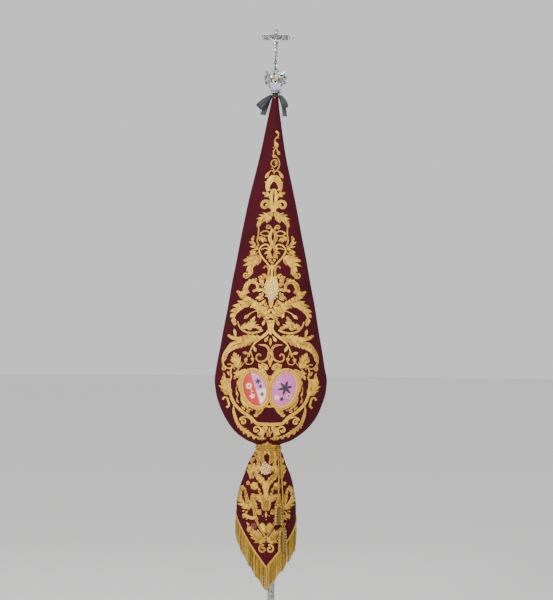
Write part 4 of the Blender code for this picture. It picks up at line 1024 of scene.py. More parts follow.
def silk_material(name, ground, light):
    """Floss silk in long stitches: a wave across the stitches paints a soft gloss along each stitch and a
    faint shade line between them, and also makes a fine bump.
    """
    material, tree, shader = new_material(name, {"Roughness": 0.45, "Sheen Weight": 0.2})
    place = add(tree, "UVMap", {"uv_map": "thread"})
    apart = add(tree, "SeparateXYZ", links={0: place.outputs["UV"]})
    noise = add(tree, "TexNoise", {"Scale": 60.0, "Detail": 3.0}, {"Vector": place.outputs["UV"]})
    lines = weighted_sum(tree, apart.outputs[0], 2 * math.pi / STITCH_PITCH, noise.outputs["Fac"])
    wave = add(tree, "Math", {"operation": "SINE"}, {0: lines.outputs[0]})
    share = weighted_sum(tree, wave.outputs[0], 0.18, noise.outputs["Fac"])
    blend = add(tree, "Mix", {"data_type": "RGBA", 6: linear(ground), 7: linear(light)},
                {0: share.outputs[0]})
    finish_surface(tree, shader, blend.outputs[2], wave.outputs[0], 0.5, 0.0003)
    return material


def field_piece(name, side, low, high, material, lift=0.0, longest=MEDALLION_LONG,
                shortest=MEDALLION_SHORT, top=1.0):
    """A crowned oval, or the part of one between two shares of its width, as closed work."""
    bundle = Bundle()
    angles = np.linspace(0, 2 * math.pi, OVAL_STEPS, endpoint=False)
    rows = []
    under = [(0.02, 0.0), (1.0, 0.0)]
    over = [(share, crown_height(share) + lift) for share in np.linspace(1, 0.02, FIELD_RINGS)]
    for share, height in under + over:
        across = np.clip(np.sin(angles) * share, low, high) * shortest
        along = np.minimum(np.cos(angles) * share, top) * longest
        rows.append(on_face(*leaning(side, across, along), height))
    grid = np.array(rows)
    bundle.tube(grid, np.linspace(0, shortest, len(rows)), angles * longest)
    return bundle.piece(name, material)


class Needlework:
    """Small stitched forms on a field, placed in millimetres from the oval's centre."""

    def __init__(self, side):
        self.side, self.bundle = side, Bundle()

    def petal(self, across, along, turn, long, wide, raised):
        """One padded petal from its root, in millimetres from the oval's centre."""
        steps = np.linspace(0, 1, 9)
        width = wide * np.sin(math.pi * np.clip(steps * 0.94 + 0.03, 0, 1)) ** 0.8
        way = np.array((math.sin(turn), math.cos(turn)))
        offsets = np.array((-1, -0.8, -0.4, 0, 0.4, 0.8, 1))
        lifts = np.array((-0.4, 0.45, 0.85, 1, 0.85, 0.45, -0.4)) * raised
        a = across + way[0] * long * steps[:, None] + way[1] * width[:, None] * offsets
        b = along + way[1] * long * steps[:, None] - way[0] * width[:, None] * offsets
        share = np.hypot(a * MM / MEDALLION_SHORT, b * MM / MEDALLION_LONG)
        raised_to = crown_height(np.clip(share, 0, 1)) + lifts
        places = leaning(self.side, a * MM, b * MM)
        self.bundle.tube(on_face(*places, raised_to), steps * long * MM, offsets * wide * MM)

    def rosette(self, across, along, radius, petals, wide, raised):
        """Petals set evenly about one place."""
        for i in range(petals):
            self.petal(across, along, 2 * math.pi * i / petals, radius, wide, raised)


RED_SILK = silk_material("red_floss_silk", "#a00402", "#d81c08")
ROSE_SILK = silk_material("rose_floss_silk", "#b85fa4", "#df97c8")
CREAM_SILK = silk_material("cream_floss_silk", "#d8c3a4", "#f3e6cf")
LILAC_SILK = silk_material("lilac_floss_silk", "#a83c90", "#dc70bc")
DARK_SILK = silk_material("violet_floss_silk", "#0d0a18", "#1d1830")
GARNET_SILK = silk_material("garnet_floss_silk", "#4c0303", "#860d08")
GREEN_SILK = silk_material("green_floss_silk", "#6d7a58", "#98a47c")

left_field = field_piece("field_left_ground", -1, -1.0, 1.0, RED_SILK)
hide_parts("medallion_left")
right_field = field_piece("field_right_ground", 1, -1.0, 1.0, LILAC_SILK)
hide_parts("medallion_right")
left_half = field_piece("field_left_half", -1, 0.04, 1.0, ROSE_SILK, 0.0004, 0.0655, 0.0435)
left_foot = field_piece("field_left_foot", -1, 0.10, 1.0, CREAM_SILK, 0.0009, 0.0645, 0.0425, -0.12)
tail_rose = Sewing(37)
tail_rose.flower(-48, 705, 13, 6, (1,))
rose_piece = tail_rose.bundle.piece("tail_silk_rose", GARNET_SILK)

FIELD_WORK = (                # name, side, silk, slot, height; across, along, reach, petals and width
    ("field_left_rose", -1, CREAM_SILK, "gold_thread", 0.0014,
     ((-20, 18, 14, 8, 4.4), (-18, -24, 13, 5, 3.6), (-15, -4, 8, 3, 2.2))),
    ("field_left_heart", -1, RED_SILK, "red_field", 0.0030,
     ((21, -27, 9, 6, 3.2), (-20, 18, 5, 6, 1.8))),
    ("field_left_dark", -1, DARK_SILK, "black_ribbon", 0.0020,
     ((19, 26, 13, 6, 3.0), (23, 4, 8, 5, 2.4))),
    ("field_right_star", 1, DARK_SILK, "black_ribbon", 0.0020,
     ((4, 6, 29, 6, 6.0), (4, -40, 9, 5, 3.0))),
    ("field_right_flower", 1, CREAM_SILK, "gold_thread", 0.0014,
     ((26, -20, 11, 6, 3.6), (-24, 14, 10, 5, 3.0), (-16, -40, 12, 7, 3.4))),
    ("field_right_bud", 1, RED_SILK, "red_field", 0.0028,
     ((26, -20, 7, 6, 2.4), (-24, 14, 5, 5, 1.8))),
    ("field_right_leaf", 1, GREEN_SILK, "gold_thread", 0.0012,
     ((20, -36, 10, 3, 2.4), (-26, -10, 9, 3, 2.0))),
)
for name, side, silk, slot, raised, rosettes in FIELD_WORK:
    work = Needlework(side)
    for across, along, reach, petals, wide in rosettes:
        work.rosette(across, along, reach, petals, wide, raised)
    piece = work.bundle.piece(name, silk)

FRAME_PROFILE = (             # share of the way out, and lift in millimetres
    (0.0, 0.0), (0.0, 2.2), (0.04, 3.4), (0.12, 4.0), (0.20, 3.2), (0.24, 3.6), (0.36, 5.8),
    (0.50, 6.8), (0.64, 6.6), (0.78, 5.2), (0.84, 4.2), (0.88, 4.6), (0.94, 4.4), (0.99, 3.0), (1.0, 0.0),
)
for side, word in ((-1, "left"), (1, "right")):
    frame_work = Bundle()
    angles = np.linspace(0, 2 * math.pi, OVAL_STEPS * 2 + 1)
    ovals = []
    for wider in (SEAT_GAP * 2, FRAME_WIDTH):
        across, along = (MEDALLION_SHORT + wider) * np.sin(angles), (MEDALLION_LONG + wider) * np.cos(angles)
        ovals.append(leaning(side, across, along))
    (inner_x, inner_z), (outer_x, outer_z) = ovals
    reach = np.maximum(side * (outer_x - MEDALLION_AXIS_X), SEAT_GAP)
    outer_x = side * reach + MEDALLION_AXIS_X
    columns = []
    for share, lift in FRAME_PROFILE:
        chased = 1 + 0.05 * np.sin(angles * 46) * (1 if 0.2 < share < 0.85 else 0.3)
        x = inner_x + (outer_x - inner_x) * share
        z = inner_z + (outer_z - inner_z) * share
        columns.append(on_face(x, z, lift * MM * chased))
    grid = np.array(columns).transpose(1, 0, 2)
    shares = np.array([share for share, _ in FRAME_PROFILE])
    # The frame's inner and outer edges take the pale edge colour: a painted highlight on its edge cords.
    rims = np.where((shares < 0.22) | (shares > 0.84), 1.0, 0.0)
    frame_work.tube(grid[:-1], walk(grid[:-1, 0]), shares * FRAME_WIDTH, rims)
    frame_piece = frame_work.piece("padded_frame_" + word, GOLD_LIGHT)
    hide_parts("frame_" + word)


# Fringe: gilt bullion and twisted silk, hung close along the tail's lower edges from a narrow
# braid, longest where it hangs free, and a little uneven at its ends.
FRINGE_LENGTH = 0.094
FRINGE_PITCH = 0.0015
FRINGE_RADIUS = 0.0014
FRINGE_GAP = 0.0012
FRINGE_LAY = 0.010
FRINGE_STEP = 0.0036
FRINGE_SIDES = 6
FRINGE_GROOVE = 0.34
FRINGE_WAVE = 0.0035          # how far the ends swing longer and shorter along the edge
FRINGE_UNEVEN = 0.003
FRINGE_LEAN = 0.0015
FRINGE_SWELL = 0.0016
ROW_SPACING = 0.0016          # the strands hang in three rows, one behind the other
HEM_BACK_HEIGHT = 0.93        # where the tail's edge meets the lap at the back

GOLD_FRINGE = thread_material(
    "gilt_fringe", ("#382403", "#a5770e", "#e6c24a"), "#c99a3c", 0.40, 0.44, 0.0020, 0.0006
)
BRAID_RADIUS = 0.0024
BRAID_LIFT = 0.0012
BRAID_LAY = 0.009
BRAID_RISES = (0.0030, -0.0022)
for side, word in ((-1, "left"), (1, "right")):
    fringe = Bundle()
    hang = random.Random(40 + side)
    last_angle = math.pi + lap_angle(np.array(HEM_BACK_HEIGHT))
    end = float(np.interp(last_angle, hem_angles, hem_distances)) - 0.003
    distances = np.arange(0.0016, end, FRINGE_PITCH)
    for number, distance in enumerate(distances):
        angle = np.array(side * np.interp(distance, hem_distances, hem_angles))
        height = hem_height(angle)
        root = cloth_point(angle, height, (number % 3) * ROW_SPACING - 0.0012)
        wave = FRINGE_WAVE * math.sin(number * 0.31 + side)
        length = FRINGE_LENGTH + wave - hang.uniform(0, FRINGE_UNEVEN)
        fall = np.arange(-0.004, length, FRINGE_STEP)
        lean = hang.uniform(-FRINGE_LEAN, FRINGE_LEAN)
        share = np.clip(fall / length, 0, 1)
        out = cloth_point(angle, height, 0.01) - cloth_point(angle, height)
        out /= np.linalg.norm(out)
        swell = FRINGE_SWELL * np.sin(share * math.pi)
        line = root + np.outer(swell, out) + np.stack([lean * share, 0 * fall, -fall - FRINGE_GAP], axis=1)
        taper = np.clip((length - fall) / 0.004, 0.45, 1)
        rope = rope_grid(line, FRINGE_RADIUS, 2, FRINGE_LAY, FRINGE_SIDES, FRINGE_GROOVE, taper,
                         hang.uniform(0, 6))
        fringe.tube(rope, fall, tone=hang.random())
    along = np.arange(0.001, end, 0.002)
    angle = side * np.interp(along, hem_distances, hem_angles)
    for rise in BRAID_RISES:
        braid = cloth_point(angle, hem_height(angle) + rise, CLOTH_THICKNESS / 2 + BRAID_LIFT)
        rope = rope_grid(braid, BRAID_RADIUS, 3, BRAID_LAY, 10)
        fringe.tube(rope, walk(braid), rim=1.0, tone=0.8)
    fringe_piece = fringe.piece("bullion_fringe_" + word, GOLD_FRINGE)
    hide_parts("fringe_" + word)


# Tie: one turn of the same laid cord round the neck, drawn tight, with its knot at the right.
TIE_CLEARANCE = 0.0058
TIE_KNOT_ANGLE = math.radians(50)
TIE_KNOT_CLEARANCE = 0.0122
TIE_STOPS = (math.radians(9.9), math.radians(8.9))
TIE_STEPS = 220

tie_start, tie_end = TIE_KNOT_ANGLE + TIE_STOPS[1], TIE_KNOT_ANGLE + 2 * math.pi - TIE_STOPS[0]
turns = np.linspace(tie_start, tie_end, TIE_STEPS)
wrapped = np.where(turns > math.pi, turns - 2 * math.pi, turns)
lap = lap_rise(np.abs(wrapped))
tie_left, tie_right = LEFT.at(TIE_HEIGHT), RIGHT.at(TIE_HEIGHT)
tie_middle, tie_half = (tie_right - tie_left) / 2, (tie_left + tie_right) / 2
tie_depth = np.where(np.cos(turns) > 0, FRONT.at(TIE_HEIGHT), BACK.at(TIE_HEIGHT) + lap)
tie_line = np.stack([
    tie_middle + (tie_half + TIE_CLEARANCE) * np.sin(turns),
    -(tie_depth + TIE_CLEARANCE) * np.cos(turns),
    np.full(TIE_STEPS, TIE_HEIGHT),
], axis=1)
tie = laid_cord("tie_turn", tie_line, CORD_DIAMETER / 2)
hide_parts("tie_cord")

knot_centre = np.array((
    tie_middle + (tie_half + TIE_KNOT_CLEARANCE) * math.sin(TIE_KNOT_ANGLE),
    -(FRONT.at(TIE_HEIGHT) + TIE_KNOT_CLEARANCE) * math.cos(TIE_KNOT_ANGLE),
    TIE_HEIGHT - 0.002,
))
KNOT_SIZE = (0.0066, 0.0034, 0.0050)
knot_turns = np.linspace(0, 2 * math.pi, 121)
knot_line = knot_centre + np.stack([
    KNOT_SIZE[0] * np.sin(knot_turns) * (1 + 0.25 * np.cos(3 * knot_turns)),
    KNOT_SIZE[1] * np.cos(3 * knot_turns),
    KNOT_SIZE[2] * np.cos(knot_turns) * (1 + 0.25 * np.cos(3 * knot_turns + 1)),
], axis=1)
knot = laid_cord("tie_knot_wound", knot_line[:-1], CORD_DIAMETER / 2 * 0.92)
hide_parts("tie_knot")


# Pole: a seamless silver tube, chased all over with a trailing leaf between small studs, and a
# plain turned foot. The steel rod inside the flag carries the finial.
POLE_RADIUS = 0.014
POLE_SHOULDER = 1.100
FERRULE_HEIGHT = 0.045
CHASING_DEPTH = 0.00055
CHASING_PITCH = 0.024         # height of one turn of the trail
POLE_SIDES = 56
POLE_ROW = 0.0022


def silver_material(name, dark, light, roughness, grain, depth):
    """Worked silver: polished, and dull with tarnish in patches spread at random."""
    material, tree, shader = new_material(name, {"Metallic": 1.0})
    spot = add(tree, "TexCoord")
    tarnish = add(tree, "TexNoise", {"Scale": grain, "Detail": 5.0, "Roughness": 0.65},
                  {"Vector": spot.outputs["Object"]})
    hammer = add(tree, "TexVoronoi", {"Scale": grain * 4}, {"Vector": spot.outputs["Object"]})
    ramp = add(tree, "ValToRGB", links={0: tarnish.outputs["Fac"]})
    stops = ramp.color_ramp.elements
    stops[0].position, stops[0].color = 0.36, linear(dark)
    stops[1].position, stops[1].color = 0.60, linear(light)
    dull = roughness * 1.5
    rough = add(tree, "MapRange", {"From Min": 0.3, "From Max": 0.7, "To Min": dull, "To Max": roughness},
                {"Value": tarnish.outputs["Fac"]})
    tree.links.new(rough.outputs[0], shader.inputs["Roughness"])
    finish_surface(tree, shader, ramp.outputs[0], hammer.outputs["Distance"], 0.35, depth)
    return material


SILVER = silver_material("polished_silver", "#232429", "#e2e4e9", 0.14, 90.0, 0.0002)
CHASED_SILVER = silver_material("chased_silver", "#2c2b2b", "#bdbcba", 0.28, 160.0, 0.0004)
# A dark copy of the silver for the cross's body: painted shade on the ground between its bright relief.
SHADED_GROUND_SILVER = silver_material("silver_painted_shade", "#141414", "#7b7a78", 0.34, 160.0, 0.0003)
GILT_SILVER = silver_material("parcel_gilt_silver", "#4f4838", "#efe6d0", 0.20, 90.0, 0.0002)
STEEL = silver_material("drawn_steel", "#6d6e72", "#9b9ca0", 0.34, 60.0, 0.0002)


def solid_node(name, material):
    """Gives a solid that already has its own shape its finish."""
    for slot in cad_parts[name].material_slots:
        slot.link = "OBJECT"
        slot.material = material


def turned_piece(name, profile, steps, material, solid, centre=(0, 0, 0), step=0.0006, turn=None):
    """A turned piece from a few points of its profile, in the place of one solid."""
    bundle = Bundle()
    fine = fine_profile(profile, step)
    grid = turned_grid(fine, steps)
    if turn is not None:
        grid = grid @ np.array(turn.to_3x3()).T
    bundle.tube(grid + np.array(centre), walk(fine))
    piece = bundle.piece(name, material)
    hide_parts(solid)
    return piece


pole_heights = np.arange(FERRULE_HEIGHT + SEAT_GAP, POLE_SHOULDER, POLE_ROW)
pole_turns = np.linspace(0, 2 * math.pi, POLE_SIDES, endpoint=False)
a, b = np.meshgrid(pole_turns, pole_heights)
trail = np.sin(3 * a + 2.2 * np.sin(2 * math.pi * b / CHASING_PITCH)) ** 2
leaves = np.abs(np.sin(6 * a - 2 * math.pi * b / CHASING_PITCH * 3)) ** 0.6
studs = np.clip(np.cos(6 * a) * np.cos(2 * math.pi * b / CHASING_PITCH * 2) - 0.55, 0, 1) * 2
relief = CHASING_DEPTH * (0.75 * trail * leaves + studs - 0.55)
radius = POLE_RADIUS + relief
pole_work = Bundle()
pole_work.tube(about_axis(a, radius, b), pole_heights)
pole_piece = pole_work.piece("chased_tube", CHASED_SILVER)
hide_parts("pole")
turned_piece("foot_ferrule", (
    (0.0001, FERRULE_HEIGHT), (0.0140, FERRULE_HEIGHT), (0.0150, 0.0444), (0.0165, 0.0425),
    (0.0166, 0.0395), (0.0165, 0.0365), (0.0152, 0.0345), (0.0149, 0.0330), (0.0150, 0.0300),
    (0.0146, 0.0200), (0.0141, 0.0080), (0.0136, 0.0030), (0.0120, 0.0002), (0.0001, 0.0),
), 64, SILVER, "pole_ferrule")
solid_node("pole_rod", STEEL)


# Bow: black silk gauze ribbon, tied once round the rod over the gathered velvet. It is sheer and
# crisp, so its loops stand open and its raw tails spread.
COLLAR_BOTTOM = 2.4262
ROD_RADIUS = 0.008
BOW_WRAP_RADIUS = 0.0145
RIBBON_THICKNESS = 0.0007
RIBBON_COLUMNS = 22
BOW_RIBBONS = {               # x, y, z, width, and the width's own direction as x and z, millimetres
    "bow_loop_left": (
        (-15.6, -3.4, 2419.5, 8, -0.45, -1.0), (-27, -7.0, 2411, 14, 0.55, -0.9),
        (-43, -9.5, 2396, 24, 0.62, -0.8), (-58, -9.0, 2381, 29, 0.66, -0.75),
        (-66, -3.5, 2373, 30, 0.68, -0.73), (-67, 3.0, 2372, 30, 0.68, -0.73),
        (-58, 7.0, 2380, 28, 0.66, -0.75), (-43, 7.0, 2394, 22, 0.62, -0.8),
        (-27, 4.5, 2409, 13, 0.55, -0.9), (-15.6, 2.5, 2417, 7, -0.45, -1.0),
    ),
    "bow_tail_left": (
        (-12.9, 8.4, 2418, 7, 0.3, -1.0), (-23, 12.0, 2404, 12, 1.0, -0.9), (-34, 13.5, 2383, 18, 1.0, -0.5),
        (-43, 13.0, 2362, 21, 1.0, -0.45), (-50, 11.5, 2343, 22, 1.0, -0.15),
    ),
    "bow_loop_right": (
        (15.6, -3.4, 2419.5, 8, -0.45, 1.0), (25, -8.0, 2411, 14, 0.7, 0.8), (33, -11.0, 2398, 20, 0.85, 0.55),
        (38, -11.5, 2384, 24, 0.95, 0.3), (39, -6.5, 2373, 26, 1.0, 0.2), (38.5, 0.5, 2371, 26, 1.0, 0.2),
        (36, 5.5, 2380, 24, 0.95, 0.3), (31, 7.0, 2395, 19, 0.85, 0.55), (24, 5.0, 2408, 12, 0.7, 0.8),
        (15.6, 2.5, 2417, 7, -0.45, 1.0),
    ),
    "bow_tail_right": (
        (12.9, 8.4, 2418, 7, 0.3, 1.0), (22, 12.0, 2404, 11, 1.0, 0.9), (31, 13.5, 2382, 15, 1.0, 0.4),
        (36, 13.0, 2362, 17, 1.0, 0.25), (38.5, 11.0, 2338, 18, 1.0, -0.15),
    ),
}

gauze, gauze_tree, gauze_shader = new_material("black_silk_gauze", {
    "Roughness": 0.5, "Alpha": 0.86, "Sheen Weight": 0.6, "Sheen Roughness": 0.4,
    "Sheen Tint": linear("#b9bcc4"),
})
gauze_place = add(gauze_tree, "UVMap", {"uv_map": "cloth"})
gauze_weave = add(gauze_tree, "TexWave", {"Scale": 320.0, "Distortion": 0.6},
                  {"Vector": gauze_place.outputs["UV"]})
gauze_blend = add(gauze_tree, "Mix", {"data_type": "RGBA", 6: linear("#17181b"), 7: linear("#34363b")},
                  {0: gauze_weave.outputs["Fac"]})
finish_surface(gauze_tree, gauze_shader, gauze_blend.outputs[2], gauze_weave.outputs["Fac"], 0.4, 0.0003)

for name, rows in BOW_RIBBONS.items():
    fine = curve_through(rows, 12)
    width = fine[:, 3]
    way = np.stack([fine[:, 4], 0 * width, fine[:, 5]], axis=1)
    way /= np.linalg.norm(way, axis=1)[:, None]
    spread = np.linspace(-0.5, 0.5, RIBBON_COLUMNS)
    centre = fine[:, :3]
    ahead = np.gradient(centre, axis=0)
    ahead /= np.linalg.norm(ahead, axis=1)[:, None]
    face = np.cross(ahead, way)
    crease = 0.035 * np.cos(spread * 2 * math.pi * 3 + 0.8) + 0.02 * np.cos(spread * 2 * math.pi * 5)
    grid = (centre[:, None] + way[:, None] * width[:, None, None] * spread[None, :, None]
            + face[:, None] * (width[:, None] * crease[None, :])[:, :, None]) * MM
    piece = thick_sheet("gauze_" + name, grid, gauze, RIBBON_THICKNESS)
    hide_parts(name)
    wide = float(width.max()) * MM

wrap_low, wrap_high = CLOTH_TOP + SEAT_GAP, COLLAR_BOTTOM - SEAT_GAP
WRAP_SIDES, WRAP_ROWS = 72, 30
wrap_turns = np.linspace(0, 2 * math.pi, WRAP_SIDES, endpoint=False)
wrap = Bundle()
wrap_grid = []
for share in np.linspace(0, 1, WRAP_ROWS):
    round_off = math.sqrt(max(1 - (2 * share - 1) ** 4, 0))
    folds = 0.0007 * np.sin(share * 22 + 0.8 * np.sin(wrap_turns * 2))
    folds = folds + 0.0004 * np.sin(wrap_turns * 5 + share * 6)
    size = ROD_RADIUS + 0.0012 + (BOW_WRAP_RADIUS - ROD_RADIUS - 0.0022) * round_off + folds * round_off
    wrap_grid.append(about_axis(wrap_turns, size, wrap_low + (wrap_high - wrap_low) * share))
wrap.tube(np.array(wrap_grid), np.linspace(0, 0.012, WRAP_ROWS))
wrap_piece = wrap.piece("gauze_wrap", gauze)
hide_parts("bow_wrap")


# Button: a wooden ball wound with gilt thread, sewn at the top of the gathered velvet.
BUTTON_RADIUS = 0.0041
button_height = CLOTH_TOP - 0.005
button_face = on_face(np.array(-0.002), np.array(button_height), 0.0)[1] + FACE_GAP
button_centre = (-0.002, button_face - BUTTON_RADIUS - 0.0006, button_height)
BUTTON_ROWS = 27
BUTTON_RIDGE = 0.00012
ball = [(BUTTON_RADIUS * math.sin(t) + BUTTON_RIDGE * (i % 2), BUTTON_RADIUS * math.cos(t))
        for i, t in enumerate(np.linspace(0.02, math.pi - 0.02, BUTTON_ROWS))]
button = Bundle()
button.tube(turned_grid(ball, 40, button_centre), np.linspace(0, 0.012, BUTTON_ROWS))
button_piece = button.piece("wound_button", BULLION)
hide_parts("top_button")


# Finial: a small silver capital, raised and chased in parts that stack on the rod: a leafy collar,
# a four-sided basket, a fluted bowl with swags, a horned top plate, and scrolls at its corners.
BASKET_BOTTOM, BASKET_TOP = 2.4380, 2.4660
BASKET_HALF_BOTTOM, BASKET_HALF_TOP = 0.0165, 0.0295
BOWL_TOP, ABACUS_TOP = 2.4975, 2.5100
ABACUS_HALF, ABACUS_WAIST, HORN_HEIGHT = 0.0395, 0.0330, 0.0085
collar_middle = (COLLAR_BOTTOM + BASKET_BOTTOM) / 2
COLLAR_LEAVES = 14
COLLAR_SIDES = 168
BASKET_CORNER = 0.10          # how much a corner is rounded in, as a share of half the width

collar_turns = np.linspace(0, 2 * math.pi, COLLAR_SIDES, endpoint=False)
collar_shape = fine_profile((
    (0.0001, BASKET_BOTTOM - SEAT_GAP), (0.0160, BASKET_BOTTOM - SEAT_GAP), (0.0185, collar_middle + 0.0042),
    (0.0240, collar_middle + 0.0020), (0.0262, collar_middle + 0.0002), (0.0250, collar_middle - 0.0018),
    (0.0190, COLLAR_BOTTOM + 0.0016), (0.0150, COLLAR_BOTTOM + 0.0002), (0.0001, COLLAR_BOTTOM),
), 0.0006)
collar_rows = []
for r, h in collar_shape:
    out = max(r - 0.017, 0) / 0.009
    lobes = np.abs(np.cos(collar_turns * COLLAR_LEAVES / 2)) ** 0.5
    size = r * (1 - 0.22 * out * (1 - lobes))
    drop_down = -0.0012 * out * lobes
    collar_rows.append(about_axis(collar_turns, size, h + drop_down))
collar = Bundle()
collar.tube(np.array(collar_rows), walk(collar_shape))
collar_piece = collar.piece("leafy_collar", SILVER)
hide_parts("finial_collar")


def turned_plan(x, y, turn):
    """A place in plan, turned about the pole's axis."""
    return x * math.cos(turn) - y * math.sin(turn), x * math.sin(turn) + y * math.cos(turn)


def square_ring(half, height, steps):
    """A ring of points round a square with rounded corners."""
    ring = []
    for side in range(4):
        turn = side * math.pi / 2
        for t in np.linspace(-1, 1, steps, endpoint=False):
            ease = 1 - BASKET_CORNER * abs(t) ** 8
            x, y = t * half * ease, -half * ease
            ring.append((*turned_plan(x, y, turn), height))
    return ring


def basket_half(share):
    """Half the basket's width at a share of its height: it flares as it rises."""
    return BASKET_HALF_BOTTOM + (BASKET_HALF_TOP - BASKET_HALF_BOTTOM) * share ** 0.9


def twisted_wire(bundle, line, radius, lay, sides, groove):
    """Adds a wire of two strands twisted together, soldered along a line."""
    bundle.tube(rope_grid(line, radius, 2, lay, sides, groove), walk(line))


SILVER_PANEL = silver_material("burnished_panel", "#a3a6bd", "#c9cbe0", 0.34, 40.0, 0.0001)
BASKET_STEPS = 32
BASKET_RISE = BASKET_TOP - BASKET_BOTTOM
basket_shares = np.linspace(0, 1, 40)
basket_rows = [square_ring(0.0003, BASKET_BOTTOM, BASKET_STEPS)]
for share in basket_shares:
    rail = 0.0009 * (math.exp(-((share - 0.08) / 0.05) ** 2) + math.exp(-((share - 0.90) / 0.06) ** 2))
    half = basket_half(share) - 0.0009 + rail
    basket_rows.append(square_ring(half, BASKET_BOTTOM + BASKET_RISE * share, BASKET_STEPS))
basket_rows.append(square_ring(0.0003, BASKET_TOP, BASKET_STEPS))
basket = Bundle()
basket.tube(np.array(basket_rows), np.linspace(0, 0.04, len(basket_rows)))
basket_piece = basket.piece("four_sided_basket", SILVER_PANEL)
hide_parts("finial_basket")

edges = Bundle()
for side in range(4):
    turn = Matrix.Rotation(side * math.pi / 2, 3, "Z")
    for hand in (-1, 1):
        line = []
        for share in np.linspace(0.03, 0.97, 24):
            half = basket_half(share)
            place = Vector((hand * (half - 0.0028), -half + 0.0008, BASKET_BOTTOM + BASKET_RISE * share))
            line.append(tuple(turn @ place))
        twisted_wire(edges, np.array(line), 0.0017, 0.004, 10, 0.2)
    for share, size in ((0.07, 0.0016), (0.92, 0.0019)):
        half = basket_half(share)
        z = BASKET_BOTTOM + BASKET_RISE * share
        places = [Vector((x, -half + 0.0006, z)) for x in np.linspace(-half + 0.002, half - 0.002, 30)]
        twisted_wire(edges, np.array([tuple(turn @ place) for place in places]), size, 0.004, 10, 0.25)
edge_piece = edges.piece("basket_borders", SILVER)

BOWL_PROFILE = (
    (0.0270, BASKET_TOP + SEAT_GAP), (0.0236, 2.4700), (0.0248, 2.4740), (0.0300, 2.4800),
    (0.0352, 2.4870), (0.0372, 2.4930), (0.0360, BOWL_TOP - SEAT_GAP),
)
BOWL_SIDES = 192
BOWL_FLUTES = 24
CLOSED = 0.0002               # the radius at which a form's end is closed
bowl_shape = fine_profile(BOWL_PROFILE, 0.0004)
bowl_turns = np.linspace(0, 2 * math.pi, BOWL_SIDES, endpoint=False)
bowl_rows = [about_axis(bowl_turns, CLOSED, bowl_shape[0][1])]
for r, h in bowl_shape:
    share = (h - BASKET_TOP) / (BOWL_TOP - BASKET_TOP)
    arc = 0.36 + 0.42 * np.abs(np.sin(2 * bowl_turns)) ** 1.6
    swag = np.exp(-((share - arc) / 0.085) ** 2)
    flute = 0.5 + 0.5 * np.cos(bowl_turns * BOWL_FLUTES)
    size = r - 0.0008 + 0.0018 * swag + 0.0006 * flute * (share > arc) * (1 - swag)
    bowl_rows.append(about_axis(bowl_turns, size, h))
bowl_rows.append(about_axis(bowl_turns, CLOSED, bowl_shape[-1][1]))
bowl = Bundle()
bowl.tube(np.array(bowl_rows), np.linspace(0, 0.05, len(bowl_rows)))
bowl_piece = bowl.piece("fluted_bowl", GILT_SILVER)
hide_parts("finial_bowl")

ENAMEL, enamel_tree, enamel_shader = new_material("blackened_recess", {"Metallic": 0.6, "Roughness": 0.5})
enamel_noise = add(enamel_tree, "TexNoise", {"Scale": 300.0})
enamel_ramp = add(enamel_tree, "ValToRGB", links={0: enamel_noise.outputs["Fac"]})
enamel_ramp.color_ramp.elements[0].color = linear("#0b0b0c")
enamel_ramp.color_ramp.elements[1].color = linear("#2b2a29")
enamel_tree.links.new(enamel_ramp.outputs[0], enamel_shader.inputs["Base Color"])
RECESS_HEIGHT = 2.4728
RECESS_ROWS = (               # radius, and how far out from the pole's axis
    (0.0001, 0.0256), (0.0040, 0.0256), (0.0044, 0.0246), (0.0044, 0.0200), (0.0001, 0.0200),
)
BOSS_ROWS = (
    (0.0042, 0.0200), (0.0058, 0.0200), (0.0064, 0.0252), (0.0058, 0.0268), (0.0048, 0.0268),
    (0.0043, 0.0256),
)
eyes, rims = Bundle(), Bundle()
circle = np.linspace(0, 2 * math.pi, 40, endpoint=False)
for side in range(4):
    turn = Matrix.Rotation(side * math.pi / 2, 3, "Z")
    for bundle, rows in ((eyes, RECESS_ROWS), (rims, BOSS_ROWS)):
        grid = []
        for r, out in rows:
            places = [Vector((r * math.cos(c), -out, RECESS_HEIGHT + r * math.sin(c))) for c in circle]
            grid.append([tuple(turn @ place) for place in places])
        bundle.tube(np.array(grid), np.linspace(0, 0.01, len(rows)))
eye_piece = eyes.piece("bowl_recesses", ENAMEL)
rim_piece = rims.piece("bowl_bosses", SILVER)

ABACUS_STEPS = 40
outline = []
for side in range(4):
    for t in np.linspace(-1, 1, ABACUS_STEPS, endpoint=False):
        reach = ABACUS_WAIST + (ABACUS_HALF - ABACUS_WAIST) * t * t
        x, y = t * ABACUS_HALF, -reach
        turn = side * math.pi / 2
        outline.append((*turned_plan(x, y, turn), abs(t)))
outline = np.array(outline)
ABACUS_ROWS = (               # share of the outline, millimetres over the bowl, share of the horn's lift
    (0.01, 0.0, 0), (0.62, 0.0, 0), (0.90, 0.6, 0.1), (0.955, 1.6, 0.2), (0.945, 2.6, 0.3),
    (0.97, 3.4, 0.4), (0.985, 5.0, 0.6), (0.965, 6.4, 0.65), (0.955, 7.2, 0.7), (0.975, 8.2, 0.75),
    (1.0, 9.4, 0.8), (1.0, 11.0, 0.95), (0.985, 12.0, 1.0), (0.95, 12.4, 0.6), (0.86, 12.5, 0.1),
    (0.62, 12.5, 0), (0.01, 12.5, 0),
)
abacus_rows = []
for scale, rise, horn in ABACUS_ROWS:
    lift = HORN_HEIGHT * horn * outline[:, 2] ** 6
    bead = 1 + (0.012 * np.cos(outline[:, 2] * 40) if 4 < rise < 7 else 0)
    abacus_rows.append(np.stack([outline[:, 0] * scale * bead, outline[:, 1] * scale * bead,
                                 BOWL_TOP + rise * MM + lift], axis=1))
abacus = Bundle()
abacus.tube(np.array(abacus_rows), np.linspace(0, 0.05, len(abacus_rows)))
